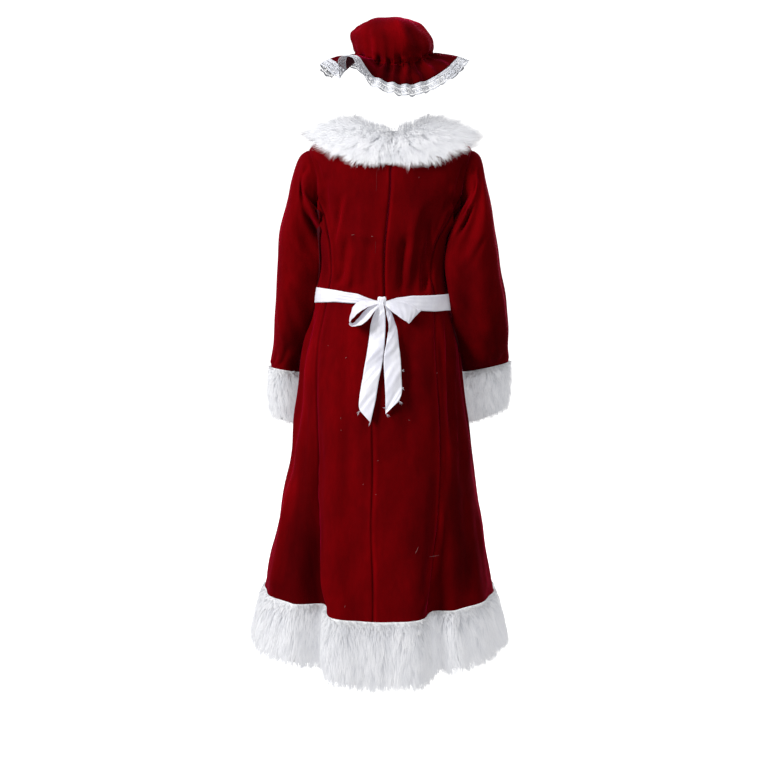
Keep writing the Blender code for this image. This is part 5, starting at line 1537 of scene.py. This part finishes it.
def colour_ramp(add, stops):
    """A ramp through the colours at its stops."""
    ramp = add("ShaderNodeValToRGB")
    elements = ramp.color_ramp.elements
    for element, (place, colour) in zip(elements, stops):
        element.position, element.color = place, (*colour, 1.0)
    for place, colour in stops[2:]:
        element = elements.new(place)
        element.color = (*colour, 1.0)
    return ramp


def lay_tone(add, join, shader, marks, dark, light, first=0.3, last=0.7):
    """The colour runs from dark to light by the cloth's marks. Returns the ramp for what else reads it."""
    tone = colour_ramp(add, ((first, dark), (last, light)))
    join(marks, tone.inputs["Fac"])
    join(tone.outputs["Color"], shader.inputs["Base Color"])
    return tone


def lay_weave(add, join, shader, weave, threads, slant, strength, depth):
    """The threads of the weave stand up a little over the whole cloth."""
    crossed = put_group(add, weave, Threads=threads, Slant=slant)
    bump = add("ShaderNodeBump", Strength=strength, Distance=depth)
    join(crossed.outputs["Height"], bump.inputs["Height"])
    join(bump.outputs["Normal"], shader.inputs["Normal"])


def make_velvet(mottle):
    """Burgundy velvet: a brushed pile that glows pink where it turns away, with painted shade and painted highlights
    read from each point.
    """
    material, shader, add, join = new_material(
        "burgundy_velvet", 0.88, Sheen_Weight=0.42, Sheen_Roughness=0.30,
        Sheen_Tint=(1.0, 0.008, 0.11, 1.0), Specular_IOR_Level=0.01,
    )
    marks = put_group(add, mottle, Cloud_Size=11.0, Fleck_Size=95.0, Stretch=0.35)
    tone = colour_ramp(add, ((0.30, (0.080, 0.0002, 0.0012)), (0.70, (0.142, 0.0003, 0.0014))))
    join(marks.outputs["Cloud"], tone.inputs["Fac"])
    fleck = colour_ramp(add, ((0.30, (0.90, 0.90, 0.90)), (0.72, (1.08, 1.08, 1.08))))
    join(marks.outputs["Fleck"], fleck.inputs["Fac"])
    mixed = multiply(add, join, tone.outputs["Color"], fleck.outputs["Color"])
    # Painted shade darkens the colour where the attribute is above zero, and painted highlight lightens it below zero.
    painted_light_read = add("ShaderNodeAttribute")
    painted_light_read.attribute_name = "painted_shade_and_highlight"
    shade = add("ShaderNodeMapRange", From_Min=-1.0, From_Max=1.0, To_Min=2.0, To_Max=0.0)
    join(painted_light_read.outputs["Fac"], shade.inputs["Value"])
    lit = add("ShaderNodeCombineColor")
    for channel in ("Red", "Green", "Blue"):
        join(shade.outputs["Result"], lit.inputs[channel])
    join(multiply(add, join, mixed, lit.outputs["Color"]), shader.inputs["Base Color"])
    place = add("ShaderNodeTexCoord")
    nap = add("ShaderNodeTexNoise", Scale=12.0, Detail=2.0, Roughness=0.5)
    pile = add("ShaderNodeTexNoise", Scale=620.0, Detail=3.0, Roughness=0.7)
    brushed = add("ShaderNodeBump", Strength=0.30, Distance=0.010)
    bump = add("ShaderNodeBump", Strength=0.35, Distance=0.0012)
    for noise in (nap, pile):
        join(place.outputs["Object"], noise.inputs["Vector"])
    join(nap.outputs["Fac"], brushed.inputs["Height"])
    join(pile.outputs["Fac"], bump.inputs["Height"])
    join(brushed.outputs["Normal"], bump.inputs["Normal"])
    join(bump.outputs["Normal"], shader.inputs["Normal"])
    return material


def make_woven(name, mottle, weave):
    """A matt woven finish from its table: the back of the velvet, or the backing of the fur."""
    look = WOVEN_FINISHES[name]
    cloud, fleck = look["sizes"]
    material, shader, add, join = new_material(name, look["rough"], **look["shine"])
    marks = put_group(add, mottle, Cloud_Size=cloud, Fleck_Size=fleck, Stretch=1.0)
    lay_tone(add, join, shader, marks.outputs[look["by"]], look["dark"], look["light"])
    lay_weave(add, join, shader, weave, *look["threads"], *look["relief"])
    return material


def make_thread_finish(name, mottle, weave):
    """Twisted thread: the lace, the stitching and the bits of lint differ only in colour."""
    material, shader, add, join = new_material(name, 0.7, Sheen_Weight=0.2)
    marks = put_group(add, mottle, Cloud_Size=40.0, Fleck_Size=400.0, Stretch=1.0)
    lay_tone(add, join, shader, marks.outputs["Fleck"], *THREAD_COLOURS[name])
    lay_weave(add, join, shader, weave, 1400.0, 0.5, 0.5, 0.0005)
    return material


def make_fur():
    """White fur with a painted glow that lights it evenly: painted shade makes each strand cooler and darker at its
    root, and each lock is a little different in tone.
    """
    # The emission is a painted glow that brightens the fur, also on its shaded side.
    material, shader, add, join = new_material(
        "white_fur", 0.6, Sheen_Weight=0.2, Specular_IOR_Level=0.2, Emission_Strength=0.62
    )
    place, lock = add("ShaderNodeAttribute"), add("ShaderNodeAttribute")
    place.attribute_name, lock.attribute_name = "strand_place", "lock_tone"
    # The ramp along the strand is painted shade: darker and cooler at the root, where shade falls deep in the fur.
    along = colour_ramp(add, ((0.0, (0.42, 0.43, 0.45)), (0.40, (0.54, 0.54, 0.555)), (1.0, (0.60, 0.60, 0.605))))
    tone = colour_ramp(add, ((0.0, (0.84, 0.85, 0.87)), (1.0, (1.0, 1.0, 1.0))))
    join(place.outputs["Fac"], along.inputs["Fac"])
    join(lock.outputs["Fac"], tone.inputs["Fac"])
    mixed = multiply(add, join, along.outputs["Color"], tone.outputs["Color"])
    join(mixed, shader.inputs["Base Color"])
    join(mixed, shader.inputs["Emission Color"])
    return material


def make_satin(mottle, weave):
    """White satin ribbon with a cool lavender cast in its shaded creases, and a painted glow that brightens it evenly.
    """
    # The emission is a painted glow that brightens the ribbon, also where it is in shade.
    material, shader, add, join = new_material(
        "white_satin", 0.34, Sheen_Weight=0.15, Specular_IOR_Level=0.55, Anisotropic=0.4, Emission_Strength=0.46
    )
    marks = put_group(add, mottle, Cloud_Size=26.0, Fleck_Size=240.0, Stretch=0.5)
    tone = lay_tone(add, join, shader, marks.outputs["Cloud"], (0.44, 0.44, 0.51), (0.54, 0.54, 0.58), last=0.66)
    join(tone.outputs["Color"], shader.inputs["Emission Color"])
    rough = add("ShaderNodeMapRange", To_Min=0.26, To_Max=0.46)
    join(marks.outputs["Fleck"], rough.inputs["Value"])
    join(rough.outputs["Result"], shader.inputs["Roughness"])
    lay_weave(add, join, shader, weave, 1100.0, 0.0, 0.12, 0.0004)
    return material


def make_floor(scene):
    """A pale floor that curves up into a backdrop and glows a little, so that it stays white behind the dress."""
    turns = np.linspace(0, math.pi / 2, 12)[1:]
    profile = [(-FLOOR_REACH, 0.0), (FLOOR_END, 0.0)]
    profile += [(FLOOR_END + FLOOR_CURVE * math.sin(t), FLOOR_CURVE * (1 - math.cos(t))) for t in turns]
    profile += [(FLOOR_END + FLOOR_CURVE, FLOOR_REACH)]
    points = [(x, y, FLOOR_Z + z) for y, z in profile for x in (-FLOOR_REACH, FLOOR_REACH)]
    faces = [(2 * i, 2 * i + 1, 2 * i + 3, 2 * i + 2) for i in range(len(profile) - 1)]
    mesh = bpy.data.meshes.new("studio_floor")
    mesh.from_pydata(points, [], faces)
    mesh.shade_smooth()
    paper, shader, _, _ = new_material("pale_paper", 0.9, Specular_IOR_Level=0.0, Emission_Strength=PAPER_GLOW)
    shader.inputs["Base Color"].default_value = (0.93, 0.93, 0.93, 1.0)
    shader.inputs["Emission Color"].default_value = (1.0, 1.0, 1.0, 1.0)
    mesh.materials.append(paper)
    floor = bpy.data.objects.new("studio_floor", mesh)
    scene.collection.objects.link(floor)
    floor.visible_diffuse = False


def light_room(scene):
    """A white room that lights the dress softly, and the lamps."""
    world = bpy.data.worlds.new("soft_room")
    scene.world = world
    world.use_nodes = True
    room = world.node_tree.nodes["Background"]
    room.inputs["Color"].default_value = (1.0, 1.0, 1.0, 1.0)
    add, join = shade_nodes(world.node_tree)
    seen = add("ShaderNodeLightPath")
    strength = add("ShaderNodeMapRange", To_Min=ROOM_LIGHT, To_Max=1.0)
    join(seen.outputs["Is Camera Ray"], strength.inputs["Value"])
    join(strength.outputs["Result"], room.inputs["Strength"])
    for name, (x, y, z, width, height, power) in LAMPS.items():
        light = bpy.data.lights.new(name, "AREA")
        light.shape, light.size, light.size_y, light.energy = "RECTANGLE", width, height, power
        lamp = bpy.data.objects.new(name, light)
        scene.collection.objects.link(lamp)
        lamp.location = (x, y, z)
        way = np.array(LIT_PLACE) - np.array([x, y, z])
        tilt, turn = math.atan2(math.hypot(way[0], way[1]), -way[2]), math.atan2(way[1], way[0]) - math.pi / 2
        lamp.rotation_euler = (tilt, 0.0, turn)


def set_camera(scene):
    """The camera, level with the middle of the back and tipped down a little."""
    view = bpy.data.cameras.new("camera")
    view.lens, view.sensor_width = CAMERA_LENS, CAMERA_SENSOR
    camera = bpy.data.objects.new("camera", view)
    scene.collection.objects.link(camera)
    camera.location = CAMERA_PLACE
    camera.rotation_euler = (math.radians(90.0 - CAMERA_TILT), 0.0, 0.0)
    scene.camera = camera


def main():
    """Lays out the finishes, then every piece, then the studio."""
    mottle, weave = make_mottle_group(), make_weave_group()
    velvet, velvet_back = make_velvet(mottle), make_woven("velvet_woven_back", mottle, weave)
    furs = make_fur(), make_woven("fur_backing", mottle, weave)
    satin = make_satin(mottle, weave)
    lace, stitch, lint = (make_thread_finish(name, mottle, weave) for name in THREAD_COLOURS)
    make_panels(velvet, velvet_back)
    make_sleeves(velvet, velvet_back)
    make_collar(furs)
    make_cuffs(furs)
    make_hem(furs)
    make_sash(satin)
    make_knot(satin)
    make_bow(satin)
    random = np.random.default_rng(THREAD_SEED)
    make_lint(lint, random)
    make_frayed_ends(satin, random)
    make_placket_stitches(stitch)
    make_cap(velvet, velvet_back)
    make_lace(lace)
    scene = bpy.context.scene
    scene.view_settings.view_transform = "Standard"
    make_floor(scene)
    light_room(scene)
    set_camera(scene)


main()
